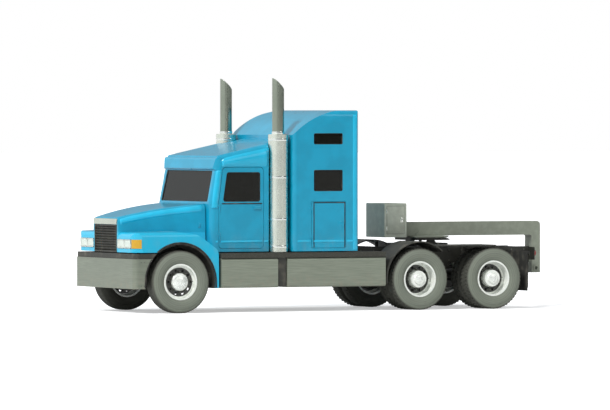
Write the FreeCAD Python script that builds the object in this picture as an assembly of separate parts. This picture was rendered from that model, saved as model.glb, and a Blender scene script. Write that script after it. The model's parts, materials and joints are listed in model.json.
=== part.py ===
"""Semi truck tractor unit with a sloped bonnet, a raised-roof sleeper, two upright exhaust
stacks and a towing neck that rides on the fifth wheel.

Millimetres. The truck faces -X, +Z is up, the driver sits on the -Y side. The origin is on
the ground, midway between the front of the bumper and the back of the towing neck.
"""
import FreeCAD
import Part
import math
import os

V = FreeCAD.Vector
UP = V(0, 0, 1)
ACROSS = V(0, 1, 0)
ALONG = V(1, 0, 0)

# Stations along the truck
bumper_to_axle = 850.0
axle_to_tandem = 4450.0
tandem_spacing = 1400.0
rear_overhang = 1460.0
overall_length = bumper_to_axle + axle_to_tandem + tandem_spacing + rear_overhang
nose_x = -overall_length / 2
tail_x = overall_length / 2
front_axle_x = nose_x + bumper_to_axle
tandem_x = [front_axle_x + axle_to_tandem, front_axle_x + axle_to_tandem + tandem_spacing]

# Tyres and rims
tyre_radius = 520.0
tyre_width = 280.0
tyre_bore = 288.0
front_track = 2140.0
dual_gap = 66.0
dual_centre_y = 900.0
dual_hub_bore = 192.0
bore_clear = 2.0
rim_lip = 302.0
rim_wall = 12.0
hub_radius = 150.0
hub_proud = 46.0
hand_holes = 10
hand_hole_radius = 24.0
hand_hole_circle = 196.0
axle_tube_y = dual_centre_y - tyre_width
axle_z = tyre_radius

# Frame
rail_top = 1040.0
rail_depth = 270.0
rail_flange = 90.0
rail_web = 12.0
rail_outside = 430.0
frame_front_x = nose_x + 96.0
frame_back_x = tandem_x[1] + 1080.0
seat_gap = 0.3

# Bumper and the black strip on it
body_half = 1200.0
side_low = 410.0
side_high = 905.0
strip_high = 992.0
bumper_wall = 14.0
bumper_return = 420.0
bumper_corner = 90.0

# Bonnet and front wings
hood_low = strip_high + 18.0
hood_back_x = front_axle_x + 590.0
hood_front_x = nose_x + 24.0
hood_front_half = 520.0
hood_back_half = 915.0
hood_front_top = 1586.0
hood_back_top = 1812.0
hood_crown = 110.0
hood_wall = 22.0
wing_top_front = 1345.0
wing_top_back = 1300.0
wing_back_x = front_axle_x + 700.0
wing_edge = 110.0
wing_nose = 230.0
arch_radius = 640.0
liner_wall = 22.0
liner_inner = arch_radius - liner_wall - seat_gap
hood_pivot_x = nose_x + 90.0
hood_pivot_z = 700.0
hood_pin_radius = 16.0
hood_arm_in_y = 576.0
hood_arm_out_y = 600.0
hood_eye_radius = 40.0

# Grille, lamps
grille_half = 450.0
grille_high = 1466.0
grille_depth = 40.0
grille_slats = 9
grille_slat = 16.0
grille_frame = 26.0
bar_low = 1474.0
bar_high = 1566.0
lamp_low = 1075.0
lamp_high = 1230.0
lamp_in_y = 480.0
lamp_out_y = body_half - 180.0
lamp_depth = 90.0

# Cab
cab_half = body_half - 150.0
cab_wall = 45.0
cab_low = 1010.0
floor_low = rail_top + 16.0
floor_top = floor_low + 44.0
tunnel_half = rail_outside + 120.0
cab_front_x = front_axle_x + 605.0
cab_back_x = front_axle_x + 1690.0
swing_half = cab_half + 8.0
guard_high = 655.0
scuttle_z = 1815.0
screen_top_z = 2390.0
screen_rake = 118.0
roof_front_z = screen_top_z + 220.0
roof_rise = 0.206
roof_edge = 150.0
pillar_round = 90.0

# Doors
door_front_x = front_axle_x + 760.0
door_back_x = front_axle_x + 1590.0
door_low = 1060.0
door_high = screen_top_z + 30.0
door_gap = 6.0
door_round = 60.0
hinge_inset = 12.0
hinge_barrel = 11.0
window_low = scuttle_z + 27.0
window_high = screen_top_z - 54.0
window_front_x = front_axle_x + 838.0
window_back_x = front_axle_x + 1530.0
window_slant = 74.0
window_round = 40.0
glass_wall = 8.0

# Sleeper
sleeper_half = body_half
sleeper_front_x = front_axle_x + 1700.0
sleeper_body_x = front_axle_x + 2066.0
sleeper_back_x = front_axle_x + 3294.0
fairing_low_z = 2950.0
fairing_top_z = 3367.0
fairing_flat_x = front_axle_x + 3130.0
sleeper_edge = 110.0
boot_clear = cab_wall
port_front_x = front_axle_x + 2450.0
port_back_x = front_axle_x + 2990.0
port_low = 2012.0
port_high = 2370.0
vent_low = 2796.0
vent_high = 2984.0
locker_front_x = front_axle_x + 2402.0
locker_back_x = front_axle_x + 3047.0
locker_low = 1060.0
locker_high = 1841.0

# Exhaust
stack_x = front_axle_x + 1873.0
shield_radius = 168.0
stack_y = body_half - shield_radius - 14.0
recess_half = stack_y - shield_radius - 12.0
shield_high = 2967.0
pipe_radius = 100.0
pipe_wall = 6.0
pipe_high = 3905.0
pillar_x_half = 76.0
link_radius = 60.0

# Tanks, step boxes and the black treads over them
step_front_x = wing_back_x + 44.0
step_back_x = stack_x - pillar_x_half - 10.0
tank_front_x = stack_x + pillar_x_half + 10.0
tank_back_x = tandem_x[0] - arch_radius - 12.0
tank_in_y = rail_outside + 148.0
tank_round = 130.0
tread_proud = 8.0

# Rear wings and mud flaps
rear_wing_wall = 20.0
rear_wing_in_y = 590.0
flap_x = tandem_x[1] + 640.0
flap_low = 300.0

# Fifth wheel and towing neck
coupling_x = tandem_x[0] + 610.0
plate_high = 1206.0
plate_thick = 48.0
plate_half = 460.0
plate_front = 330.0
plate_back = 420.0
throat_half = 62.0
kingpin_radius = 25.4
kingpin_length = 84.0
neck_half = 125.0
neck_low = plate_high + 24.0
neck_high = 1466.0
neck_drop_thick = 163.0
neck_drop_low = 580.0
neck_wall = 14.0
neck_box_front_x = tandem_x[0] - 250.0
neck_box_back_x = tandem_x[0] + 170.0
neck_box_half = 350.0
neck_box_high = 1790.0
neck_eye_radius = 30.0
neck_eye_z = neck_drop_low + 80.0


def box(x0, x1, y0, y1, z0, z1):
    """A block between two corners, whichever way round the limits are given."""
    x0, x1 = sorted((x0, x1))
    y0, y1 = sorted((y0, y1))
    z0, z1 = sorted((z0, z1))
    return Part.makeBox(x1 - x0, y1 - y0, z1 - z0, V(x0, y0, z0))


def cylinder(centre, radius, length, direction):
    """A cylinder whose middle is at centre."""
    start = V(*centre) - direction * (length / 2)
    return Part.makeCylinder(radius, length, start, direction)


def tube(centre, radius, wall, length, direction):
    """A cylinder with an open bore."""
    outer = cylinder(centre, radius, length, direction)
    return outer.cut(cylinder(centre, radius - wall, length + 2, direction))


def side_prism(points, y0, y1):
    """A side outline of (x, z) points, carried across the truck from y0 to y1."""
    y0, y1 = sorted((y0, y1))
    wire = Part.makePolygon([V(x, y0, z) for x, z in points + points[:1]])
    return Part.Face(wire).extrude(V(0, y1 - y0, 0))


def end_prism(points, x0, x1):
    """An end-on outline of (y, z) points, carried along the truck from x0 to x1."""
    wire = Part.makePolygon([V(x0, y, z) for y, z in points + points[:1]])
    return Part.Face(wire).extrude(V(x1 - x0, 0, 0))


def rounded_loop(corners, radii):
    """A closed wire through the corners, each rounded to its own radius."""
    edges = []
    count = len(corners)
    starts = []
    for i, corner in enumerate(corners):
        before = (corners[i - 1] - corner).normalize()
        after = (corners[(i + 1) % count] - corner).normalize()
        half = before.getAngle(after) / 2
        reach = radii[i] / math.tan(half)
        middle = (before + after).normalize() * (radii[i] / math.sin(half) - radii[i])
        starts.append((corner + before * reach, corner + middle, corner + after * reach))
    for i, (enter, middle, leave) in enumerate(starts):
        if radii[i] > 0:
            edges.append(Part.Arc(enter, middle, leave).toShape())
        following = starts[(i + 1) % count][0]
        if leave.distanceToPoint(following) > 1e-6:
            edges.append(Part.makeLine(leave, following))
    return Part.Wire(edges)


def plan_loop(x0, x1, half, z, front_round, back_round):
    """A level outline, symmetrical about the middle of the truck, with rounded corners."""
    corners = [V(x0, -half, z), V(x1, -half, z), V(x1, half, z), V(x0, half, z)]
    return rounded_loop(corners, [front_round, back_round, back_round, front_round])


def arched_loop(x, half_low, half_high, low, high, radius):
    """An end-on outline with two rounded upper corners and square lower ones."""
    corners = [V(x, -half_low, low), V(x, half_low, low), V(x, half_high, high), V(x, -half_high, high)]
    return rounded_loop(corners, [0, 0, radius, radius])


def side_loop(points, radii, y):
    """A side outline at one y, with each corner rounded."""
    return rounded_loop([V(x, y, z) for x, z in points], radii)


def carried_across(loop, y1):
    """A side outline carried across the truck from its own y to y1."""
    start = loop.BoundBox.YMin
    return Part.Face(loop).extrude(V(0, y1 - start, 0))


def mirrored(shape):
    """The same shape on the other side of the truck."""
    return shape.mirror(V(0, 0, 0), ACROSS)


def both_sides(shape):
    """A left and a right copy that do not touch."""
    return [shape, mirrored(shape)]


def fused(shapes):
    """One solid from shapes that share faces or volume."""
    return shapes[0].multiFuse(shapes[1:]).removeSplitter()


def save(name, shapes):
    """Writes one sub-part, as one solid or as several that do not touch."""
    solids = []
    for shape in shapes if isinstance(shapes, list) else [shapes]:
        solids.extend(shape.Solids)
    Part.makeCompound(solids).exportStep("parts/" + name + ".step")
    volume = sum(s.Volume for s in solids) / 1e9
    print("%-22s %2d solids  %.4f m3" % (name, len(solids), volume))


# Frame, engine and axles
crossmember_width = 80.0
shallow_member_x = front_axle_x + 1480.0
crossmember_x = [
    nose_x + 150.0,
    front_axle_x + 2300.0,
    front_axle_x + 3450.0,
    tandem_x[0] + tandem_spacing / 2,
    frame_back_x - 60.0,
]
cab_mount_x = [front_axle_x + 780.0, front_axle_x + 1580.0, front_axle_x + 1860.0, front_axle_x + 3140.0]
engine_front_x = front_axle_x - 450.0
engine_back_x = front_axle_x + 520.0
engine_low = 660.0
engine_high = 1440.0
gearbox_z = 770.0
gearbox_back_x = front_axle_x + 1330.0
bell_radius = 235.0
yoke_radius = 60.0
radiator_x = nose_x + 170.0
radiator_thick = 70.0
radiator_high = 1480.0
kingpin_y = 870.0
knuckle_pin_radius = 22.0
knuckle_eye_radius = 45.0
knuckle_eye_half = 45.0
knuckle_arm = 200.0
steer_clear = 5.0
spindle_radius = 42.0
wheel_fit = 0.3
beam_half = 42.0
beam_drop = 50.0
spring_y = 390.0
spring_width = 76.0
spring_half_length = 590.0
spring_seat_z = axle_z + 46.0
spring_eye_z = 690.0
spring_thick = 54.0
housing_radius = 78.0
banjo_radius = 185.0
brake_radius = 205.0
shaft_radius = 55.0


def frame_rails():
    """Two C-channels with their flanges turned inwards."""
    low = rail_top - rail_depth
    inner = rail_outside - rail_flange
    web = rail_outside - rail_web
    section = [
        (-rail_outside, low), (-inner, low), (-inner, low + rail_web), (-web, low + rail_web),
        (-web, rail_top - rail_web), (-inner, rail_top - rail_web), (-inner, rail_top),
        (-rail_outside, rail_top),
    ]
    return both_sides(end_prism(section, frame_front_x, frame_back_x))


def crossmember(x, low):
    """An I-section between the webs of the two rails, clear of their flanges."""
    high = rail_top - rail_web - seat_gap
    reach = rail_outside - rail_web - seat_gap
    half = crossmember_width / 2
    web = rail_web / 2
    bar = box(x - half, x + half, -reach, reach, high - rail_web, high)
    foot = box(x - half, x + half, -reach, reach, low, low + rail_web)
    plate = box(x - web, x + web, -reach, reach, low, high)
    return fused([bar, foot, plate])


def hood_hinge(side):
    """The plate on a rail's nose with the pin the bonnet turns on."""
    y0, y1 = side * (rail_outside + seat_gap), side * (rail_outside + 24.0)
    high = strip_high - bumper_wall - seat_gap
    plate = box(hood_pivot_x - 42, frame_front_x + 110, y0, y1, hood_pivot_z - 40, high)
    pin_y = side * (rail_outside + 23.0 + hood_arm_out_y + 4.0) / 2
    length = hood_arm_out_y + 4.0 - rail_outside - 23.0
    pin = cylinder((hood_pivot_x, pin_y, hood_pivot_z), hood_pin_radius, length, ACROSS)
    return fused([plate, pin])


def cab_mounts():
    """Rubber blocks between the rails and the floors of cab and sleeper."""
    low = rail_top + seat_gap
    blocks = []
    for x in cab_mount_x:
        block = box(x - 60, x + 60, -rail_outside + 6, -rail_outside + 82, low, floor_low - seat_gap)
        blocks.extend(both_sides(block))
    return blocks


def powertrain():
    """The engine as one plain block, with its bell housing, gearbox and output yoke."""
    half = rail_outside - rail_flange - seat_gap
    block = box(engine_front_x, engine_back_x, -half, half, engine_low, engine_high)
    bell_length = bell_radius
    bell = Part.makeCone(
        bell_radius, bell_radius * 0.72, bell_length, V(engine_back_x, 0, gearbox_z), ALONG)
    case_x = engine_back_x + bell_length
    case_half = bell_radius * 0.68
    case = box(case_x, gearbox_back_x, -case_half, case_half, gearbox_z - case_half, gearbox_z + case_half)
    case = case.makeFillet(40.0, [e for e in case.Edges if e.BoundBox.XLength > 1.0])
    yoke = cylinder((gearbox_back_x, 0, gearbox_z), yoke_radius, 100.0, ALONG)
    return fused([block, bell, case, yoke])


def radiator():
    """A core block that stands on the rails behind the grille."""
    low = rail_top + seat_gap
    half = rail_outside + 8.0
    core = box(radiator_x, radiator_x + radiator_thick, -half, half, low, radiator_high)
    return core.makeFillet(16.0, [e for e in core.Edges if e.BoundBox.XLength > 1.0])


def shaft_between(start, end, radius):
    """A round shaft between two points, with a wider joint at each end cut square to the truck."""
    run = end - start
    run.normalize()
    grip = radius * 1.35
    spare = run * grip
    bar = Part.makeCylinder(radius, (end - start).Length + 2 * grip, start - spare, run)
    first = Part.makeCylinder(grip, grip * 2.6, start - spare, run)
    last = Part.makeCylinder(grip, grip * 2.6, end + spare, run * -1)
    low, high = min(start.z, end.z) - 2 * grip, max(start.z, end.z) + 2 * grip
    square = box(start.x, end.x, -2 * grip, 2 * grip, low, high)
    return fused([bar, first, last]).common(square)


def propshafts():
    """The shaft from the gearbox to the first drive axle, and the short one between the axles."""
    nose = banjo_radius + 120.0
    first = shaft_between(
        V(gearbox_back_x + 50.0 + seat_gap, 0, gearbox_z), V(tandem_x[0] - nose - seat_gap, 0, axle_z + 60.0),
        shaft_radius)
    second = shaft_between(
        V(tandem_x[0] + nose + seat_gap, 0, axle_z + 60.0),
        V(tandem_x[1] - nose - seat_gap, 0, axle_z + 60.0), shaft_radius)
    return [first, second]


def front_axle():
    """A dropped beam with an eye at each end for the kingpin."""
    low = axle_z - beam_half - beam_drop
    high = axle_z + beam_half - beam_drop
    rise = beam_drop
    turn_y = spring_y + spring_width
    end_y = kingpin_y - knuckle_eye_radius * 0.5
    outline = [
        (-end_y, low + rise), (-end_y + 130, low + rise), (-turn_y, low), (turn_y, low),
        (end_y - 130, low + rise), (end_y, low + rise), (end_y, high + rise), (end_y - 130, high + rise),
        (turn_y, high), (-turn_y, high), (-end_y + 130, high + rise), (-end_y, high + rise),
    ]
    beam = end_prism(outline, front_axle_x - beam_half, front_axle_x + beam_half)
    pads = [
        box(front_axle_x - 60, front_axle_x + 60, s * spring_y - 50, s * spring_y + 50,
            high - 10, spring_seat_z - seat_gap) for s in (-1, 1)]
    beam = fused([beam] + pads)
    for s in (-1, 1):
        centre = (front_axle_x, s * kingpin_y, axle_z)
        beam = beam.fuse(cylinder(centre, knuckle_eye_radius, 2 * knuckle_eye_half, UP))
        beam = beam.cut(cylinder(centre, knuckle_pin_radius + wheel_fit, 4 * knuckle_eye_half, UP))
    return beam.removeSplitter()


def leaf_pack(x, half_length, seat_z, eye_z, thick):
    """A curved leaf pack with a hanger at each end, under the left rail."""
    y0 = -spring_y - spring_width / 2
    rail_low = rail_top - rail_depth
    lower = Part.Arc(V(x - half_length, y0, eye_z), V(x, y0, seat_z), V(x + half_length, y0, eye_z))
    tip = thick * 0.35
    upper = Part.Arc(
        V(x + half_length, y0, eye_z + tip), V(x, y0, seat_z + thick), V(x - half_length, y0, eye_z + tip))
    wire = Part.Wire([
        lower.toShape(),
        Part.makeLine(V(x + half_length, y0, eye_z), V(x + half_length, y0, eye_z + tip)),
        upper.toShape(),
        Part.makeLine(V(x - half_length, y0, eye_z + tip), V(x - half_length, y0, eye_z)),
    ])
    leaves = Part.Face(wire).extrude(V(0, spring_width, 0))
    parts = [leaves]
    for s in (-1, 1):
        end = x + s * half_length
        hanger = [
            (end - 34, eye_z - 26), (end + 34, eye_z - 26), (end + 62, rail_low - seat_gap),
            (end - 62, rail_low - seat_gap)]
        parts.append(side_prism(hanger, y0, y0 + spring_width))
    clamp_high = seat_z + thick + 16.0
    parts.append(box(x - 70, x + 70, y0 - 10, y0 + spring_width + 10, seat_z + thick * 0.4, clamp_high))
    return fused(parts)


def front_springs():
    return both_sides(
        leaf_pack(front_axle_x, spring_half_length, spring_seat_z, spring_eye_z, spring_thick))


def rear_axle(x):
    """A drive axle: tubes, a round banjo with its nose, brake backs and spindles."""
    tube_half = axle_tube_y
    housing = cylinder((x, 0, axle_z), housing_radius, 2 * tube_half, ACROSS)
    banjo = cylinder((x, 0, axle_z), banjo_radius, 170.0, ALONG)
    banjo = banjo.makeChamfer(34.0, [e for e in banjo.Edges if e.Curve.TypeId == "Part::GeomCircle"])
    nose = Part.makeCone(96.0, 74.0, banjo_radius + 120.0, V(x, 0, axle_z + 60), V(-1, 0, 0))
    tail = Part.makeCone(90.0, 70.0, banjo_radius + 120.0, V(x, 0, axle_z + 60), ALONG)
    pieces = [housing, banjo, nose, tail]
    for s in (-1, 1):
        pieces.append(cylinder((x, s * (tube_half - 30), axle_z), brake_radius, 22.0, ACROSS))
        spindle_end = dual_centre_y + dual_hub_bore - bore_clear
        middle = s * (tube_half - 10 + spindle_end) / 2
        pieces.append(cylinder((x, middle, axle_z), spindle_radius, spindle_end - tube_half + 10, ACROSS))
    return fused(pieces)


def rear_axles():
    return [rear_axle(x) for x in tandem_x]


def rear_suspension():
    """A saddle with a leaf pack over each drive axle, hung from both rails."""
    seat_z = axle_z + housing_radius + 24.0
    packs = []
    for x in tandem_x:
        pack = leaf_pack(x, tandem_spacing * 0.36, seat_z, spring_eye_z + 14.0, spring_thick * 1.1)
        saddle = box(x - 66, x + 66, -spring_y - 48, -spring_y + 48, axle_z, seat_z + 8)
        bored = saddle.cut(cylinder((x, -spring_y, axle_z), housing_radius + seat_gap, 200.0, ACROSS))
        packs.extend(both_sides(fused([pack, bored])))
    return packs


def knuckle(side):
    """The steering knuckle: fork, kingpin, spindle, brake back and steering arm."""
    y = side * kingpin_y
    x = front_axle_x
    fork_low = knuckle_eye_half + steer_clear
    fork_high = fork_low + 40.0
    plate_y = side * (kingpin_y + knuckle_eye_radius + 8.0)
    plate = cylinder((x, plate_y + side * 9, axle_z), 118.0, 18.0, ACROSS)
    pieces = [plate]
    for s in (-1, 1):
        z0 = axle_z + s * fork_low
        z1 = axle_z + s * fork_high
        pieces.append(box(x - 44, x + 44, y, plate_y + side * 8, z0, z1))
        pieces.append(cylinder((x, y, (z0 + z1) / 2), 44.0, abs(z1 - z0), UP))
    pieces.append(cylinder((x, y, axle_z), knuckle_pin_radius, 2 * fork_high, UP))
    spindle_end = front_track / 2 + 60.0
    spindle_start = abs(plate_y)
    pieces.append(cylinder((x, side * (spindle_start + spindle_end) / 2, axle_z),
                           spindle_radius, spindle_end - spindle_start, ACROSS))
    arm_z = axle_z - fork_high + 14.0
    pieces.append(box(x, x + knuckle_arm, y - 20, y + 20, arm_z - 14, arm_z + 14))
    pieces.append(cylinder((x + knuckle_arm, y, arm_z), 26.0, 28.0, UP))
    pieces.append(cylinder((x + knuckle_arm, y, arm_z - 34), 12.0, 66.0, UP))
    return fused(pieces)


def tie_rod():
    """The track rod between the two steering arms, with an eye at each end."""
    x = front_axle_x + knuckle_arm
    z = axle_z - knuckle_eye_half - steer_clear - 40.0 + 14.0 - 46.0
    bar = cylinder((x, 0, z), 17.0, 2 * kingpin_y, ACROSS)
    rod = bar
    for s in (-1, 1):
        rod = rod.fuse(cylinder((x, s * kingpin_y, z), 25.0, 30.0, UP))
        rod = rod.cut(cylinder((x, s * kingpin_y, z), 12.0 + wheel_fit, 120.0, UP))
    return rod.removeSplitter()


def bumper_loop(inset, z):
    """The bumper's outline from above: a wide U with rounded front corners."""
    x0 = nose_x + inset
    back = nose_x + bumper_return
    half = body_half - inset
    loop = plan_loop(x0, back, half, z, bumper_corner - inset * 0.5, 0.0)
    return loop


def bumper_band(z0, z1, set_back):
    """A hollow band of the bumper between two heights, its ends cut to the wheel arches."""
    outer = Part.Face(bumper_loop(set_back, z0)).extrude(V(0, 0, z1 - z0))
    inner = Part.Face(bumper_loop(set_back + bumper_wall, z0)).extrude(V(0, 0, z1 - z0))
    return outer.cut(inner).cut(arch_cut(arch_radius + seat_gap, -body_half - 1, body_half + 1))


def bumper():
    """The grey bumper, with its ends returned and two brackets back to the rails."""
    band = bumper_band(side_low, side_high, 0.0)
    low = rail_top - rail_depth
    brackets = [
        box(nose_x + bumper_wall - 2, frame_front_x - seat_gap, s * rail_outside, s * (rail_outside - 60),
            low + 20, side_high - 30) for s in (-1, 1)]
    return fused([band] + brackets)


def bumper_strip():
    """The black band and step on top of the bumper."""
    band = bumper_band(side_high + seat_gap, strip_high, 10.0)
    top = Part.Face(bumper_loop(10.0, strip_high - bumper_wall)).extrude(V(0, 0, bumper_wall))
    half = hood_arm_out_y + 12.0
    well = box(hood_pivot_x - 8, nose_x + bumper_return + 1, -half, half, strip_high - 60, strip_high + 1)
    top = top.cut(well).cut(arch_cut(arch_radius + seat_gap, -body_half - 1, body_half + 1))
    return band.fuse(top).removeSplitter()


def arch_guards():
    """The fixed parts of each front wheel arch: one behind the bumper, one ahead of the step box."""
    ring = tube((front_axle_x, -(body_half + rear_wing_in_y) / 2, axle_z), arch_radius - seat_gap,
                liner_wall, body_half - rear_wing_in_y - 150.0, ACROSS)
    keep = box(front_axle_x - arch_radius - 1, front_axle_x - arch_radius * 0.5,
               -body_half, 0, side_low, strip_high - 10)
    ring = ring.common(keep)
    shelf_y = -(body_half + rear_wing_in_y) / 2
    half = (body_half - rear_wing_in_y - 150.0) / 2
    shelf = box(front_axle_x - arch_radius - 65.0, front_axle_x - arch_radius + 30,
                -body_half + bumper_wall + seat_gap, shelf_y + half, axle_z + 30, axle_z + 60)
    shelf = shelf.cut(cylinder((front_axle_x, shelf_y, axle_z), arch_radius - liner_wall / 2, 900.0, ACROSS))
    rear_y = -(swing_half - 8.0 + rear_wing_in_y + 10.0) / 2
    width = swing_half - 8.0 - rear_wing_in_y - 10.0
    back = tube((front_axle_x, rear_y, axle_z), arch_radius - seat_gap, liner_wall, width, ACROSS)
    back = back.common(box(
        front_axle_x, front_axle_x + arch_radius + 1, -body_half, 0, side_low, guard_high))
    bracket = box(front_axle_x + arch_radius - liner_wall / 2, step_front_x - seat_gap, rear_y - width / 2,
                  rear_y + width / 2, axle_z + 30, axle_z + 60)
    return both_sides(fused([ring, shelf])) + both_sides(fused([back, bracket]))


def hood_body(inset):
    """The middle of the bonnet, tapering from the scuttle to the grille, inset all round."""
    loops = []
    rear = hood_back_x + (0 if inset == 0 else 2)
    stations = [
        (hood_front_x + inset, hood_front_half, hood_front_half - 30, hood_front_top),
        (hood_front_x + 330.0, hood_front_half + 115, hood_front_half + 70, hood_front_top + 78.0),
        (rear, hood_back_half, hood_back_half - 35, hood_back_top),
    ]
    for x, half_low, half_high, top in stations:
        loops.append(arched_loop(
            x, half_low - inset, half_high - inset, hood_low - (60 if inset else 0), top - inset,
            hood_crown - inset))
    return Part.makeLoft(loops, True, False)


def wing_body(inset):
    """One front wing: side outline, end outline and plan outline taken together."""
    low = side_low if inset == 0 else side_low - 40.0
    front = hood_front_x + inset + (4.0 if inset > 0 else 0.0)
    back = wing_back_x - inset
    outline = [
        (front, hood_low - (60 if inset else 0)), (front, wing_top_front - inset),
        (front_axle_x - 120.0, wing_top_front + 18.0 - inset), (front_axle_x + 330.0, wing_top_back - inset),
        (back, hood_low + 30.0 - inset), (back, low), (front_axle_x + 100.0, low),
        (front_axle_x + 100.0, hood_low - (60 if inset else 0)),
    ]
    rounds = [0, 90.0, 500.0, 240.0, 150.0, 0, 0, 0]
    side = carried_across(side_loop(outline, rounds, -body_half), 0.0)
    half = body_half - inset
    plan = Part.Face(plan_loop(front, back + 1, half, 0.0, wing_nose - inset, 20.0)).extrude(
        V(0, 0, hood_back_top))
    end = Part.Face(arched_loop(
        front - 1, half, half - 26.0, 0.0, wing_top_front + 22.0 - inset, wing_edge - inset)).extrude(
            V(back - front + 2, 0, 0))
    return side.common(plan).common(end)


def arch_cut(radius, y_in, y_out):
    """The round of one wheel arch as a solid to take away, open downwards."""
    ring = cylinder((front_axle_x, (y_in + y_out) / 2, axle_z), radius, abs(y_out - y_in), ACROSS)
    slot = box(front_axle_x - radius, front_axle_x + radius, y_in, y_out, 0.0, axle_z)
    return ring.fuse(slot)


def hood_shell():
    """Bonnet and wings as one tilting shell, open below and behind, with the arches cut."""
    outer = fused([hood_body(0), wing_body(0), mirrored(wing_body(0))])
    inner = fused([hood_body(hood_wall), wing_body(hood_wall), mirrored(wing_body(hood_wall))])
    shell = outer.cut(inner)
    for s in (-1, 1):
        shell = shell.cut(arch_cut(arch_radius, s * rear_wing_in_y, s * (body_half + 50)))
        shell = shell.cut(box(
            nose_x, hood_front_x + lamp_depth + 1, s * lamp_in_y, s * lamp_out_y, lamp_low, lamp_high))
    wall_x = wing_back_x + 1
    shell = shell.cut(box(
        hood_back_x - 5, wall_x, -swing_half, swing_half, side_low - 1, wing_top_front))
    shell = shell.cut(box(
        front_axle_x - 300, wall_x, -rear_wing_in_y, rear_wing_in_y, side_low - 1, hood_low + 300))
    grille_hole = box(nose_x, hood_front_x + 100.0, -grille_half, grille_half, hood_low - 1, grille_high)
    bar_hole = box(nose_x, hood_front_x + 100.0, -grille_half, grille_half, bar_low, bar_high - 30.0)
    shell = shell.cut(grille_hole).cut(bar_hole)
    return shell.Solids[0] if len(shell.Solids) == 1 else max(shell.Solids, key=lambda s: s.Volume)


def arch_liners():
    """The black lining over each front wheel, and the arm from the bonnet to its pivot pin."""
    mid_y = -(body_half + rear_wing_in_y) / 2 + 10.0
    width = body_half - rear_wing_in_y - 40.0
    ring = tube((front_axle_x, mid_y, axle_z), liner_inner + liner_wall, liner_wall, width, ACROSS)
    back_x = front_axle_x + arch_radius + 5
    top = box(front_axle_x - arch_radius, back_x, -body_half, 0, hood_low, hood_back_top)
    rear = box(front_axle_x, back_x, -body_half, 0, guard_high + 9, hood_low)
    outer_rear = box(front_axle_x, back_x, -body_half, -swing_half, side_low, hood_low)
    lining = ring.common(fused([top, rear, outer_rear]))
    y0, y1 = -hood_arm_out_y, -hood_arm_in_y
    eye_x, eye_z = hood_pivot_x, hood_pivot_z
    end_x = front_axle_x - math.sqrt(arch_radius ** 2 - (hood_low - axle_z) ** 2)
    arm = side_prism([
        (eye_x, eye_z - 24), (end_x + 22, eye_z + 86), (end_x + 32, hood_low + 4),
        (end_x + 44, hood_low + 46), (end_x - 4, hood_low + 46), (end_x - 30, eye_z + 136),
        (eye_x, eye_z + 26)], y0, y1)
    foot = box(end_x + 6, end_x + 40, y0 - 60, y1, hood_low + 4, hood_low + 44)
    eye = cylinder((eye_x, (y0 + y1) / 2, eye_z), hood_eye_radius, y1 - y0, ACROSS)
    bore = cylinder((eye_x, (y0 + y1) / 2, eye_z), hood_pin_radius + seat_gap, 60.0, ACROSS)
    return both_sides(fused([lining, arm, eye, foot]).cut(bore))


def grille():
    """A frame with level slats, set in the bonnet's nose."""
    half = grille_half - seat_gap
    x0 = hood_front_x - 6.0
    x1 = x0 + grille_depth
    low = hood_low
    high = grille_high - seat_gap
    inner = half - grille_frame
    frame = box(x0, x1, -half, half, low, high).cut(
        box(x0 - 1, x1 + 1, -inner, inner, low + grille_frame, high - grille_frame))
    pitch = (high - low - grille_frame) / (grille_slats + 1)
    slats = []
    for i in range(grille_slats):
        z = low + grille_frame / 2 + (i + 1) * pitch
        slat = side_prism([(x0 + 4, z + 10), (x0 + 10, z + 10 + grille_slat * 0.4),
                           (x1 - 4, z - grille_slat), (x1 - 10, z - grille_slat * 1.4)], -half, half)
        slats.append(slat)
    posts = [box(x1 - 12, x1, y - 8, y + 8, low, high) for y in (-half / 2, 0.0, half / 2)]
    return fused([frame] + slats + posts)


def grille_bar():
    """The bright bar over the grille."""
    half = grille_half + 12.0
    bar = box(hood_front_x - 20.0, hood_front_x - seat_gap, -half, half, bar_low - 4, bar_high)
    bar = bar.makeFillet(7.0, [e for e in bar.Edges if e.BoundBox.XMax < hood_front_x - 18.0])
    tongue = box(
        hood_front_x - 8.0, hood_front_x + hood_wall, -half + 14, half - 14, bar_low + 1, bar_high - 32)
    return fused([bar, tongue])


def headlamps():
    """A block lamp each side of the grille, seated in its opening."""
    gap = seat_gap
    lamp = box(hood_front_x - 4, hood_front_x + lamp_depth, -lamp_in_y - gap, -lamp_out_y + gap,
               lamp_low + gap, lamp_high - gap)
    lamp = lamp.makeFillet(14.0, [e for e in lamp.Edges if e.BoundBox.XMax < hood_front_x])
    return both_sides(lamp)


def turn_lamps():
    """The amber lamps that wrap each front corner beside the headlamps."""
    back_x = nose_x + wing_nose * 0.62
    block = box(nose_x, back_x, -lamp_out_y - 12, -body_half - 20, lamp_low + 4, lamp_high - 4)
    skin = wing_body(-9.0).cut(wing_body(-seat_gap))
    return both_sides(skin.common(block))


def roof_line(x):
    """The height of the cab's rising roof at a station."""
    return roof_front_z + (x - cab_front_x - screen_rake) * roof_rise


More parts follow.
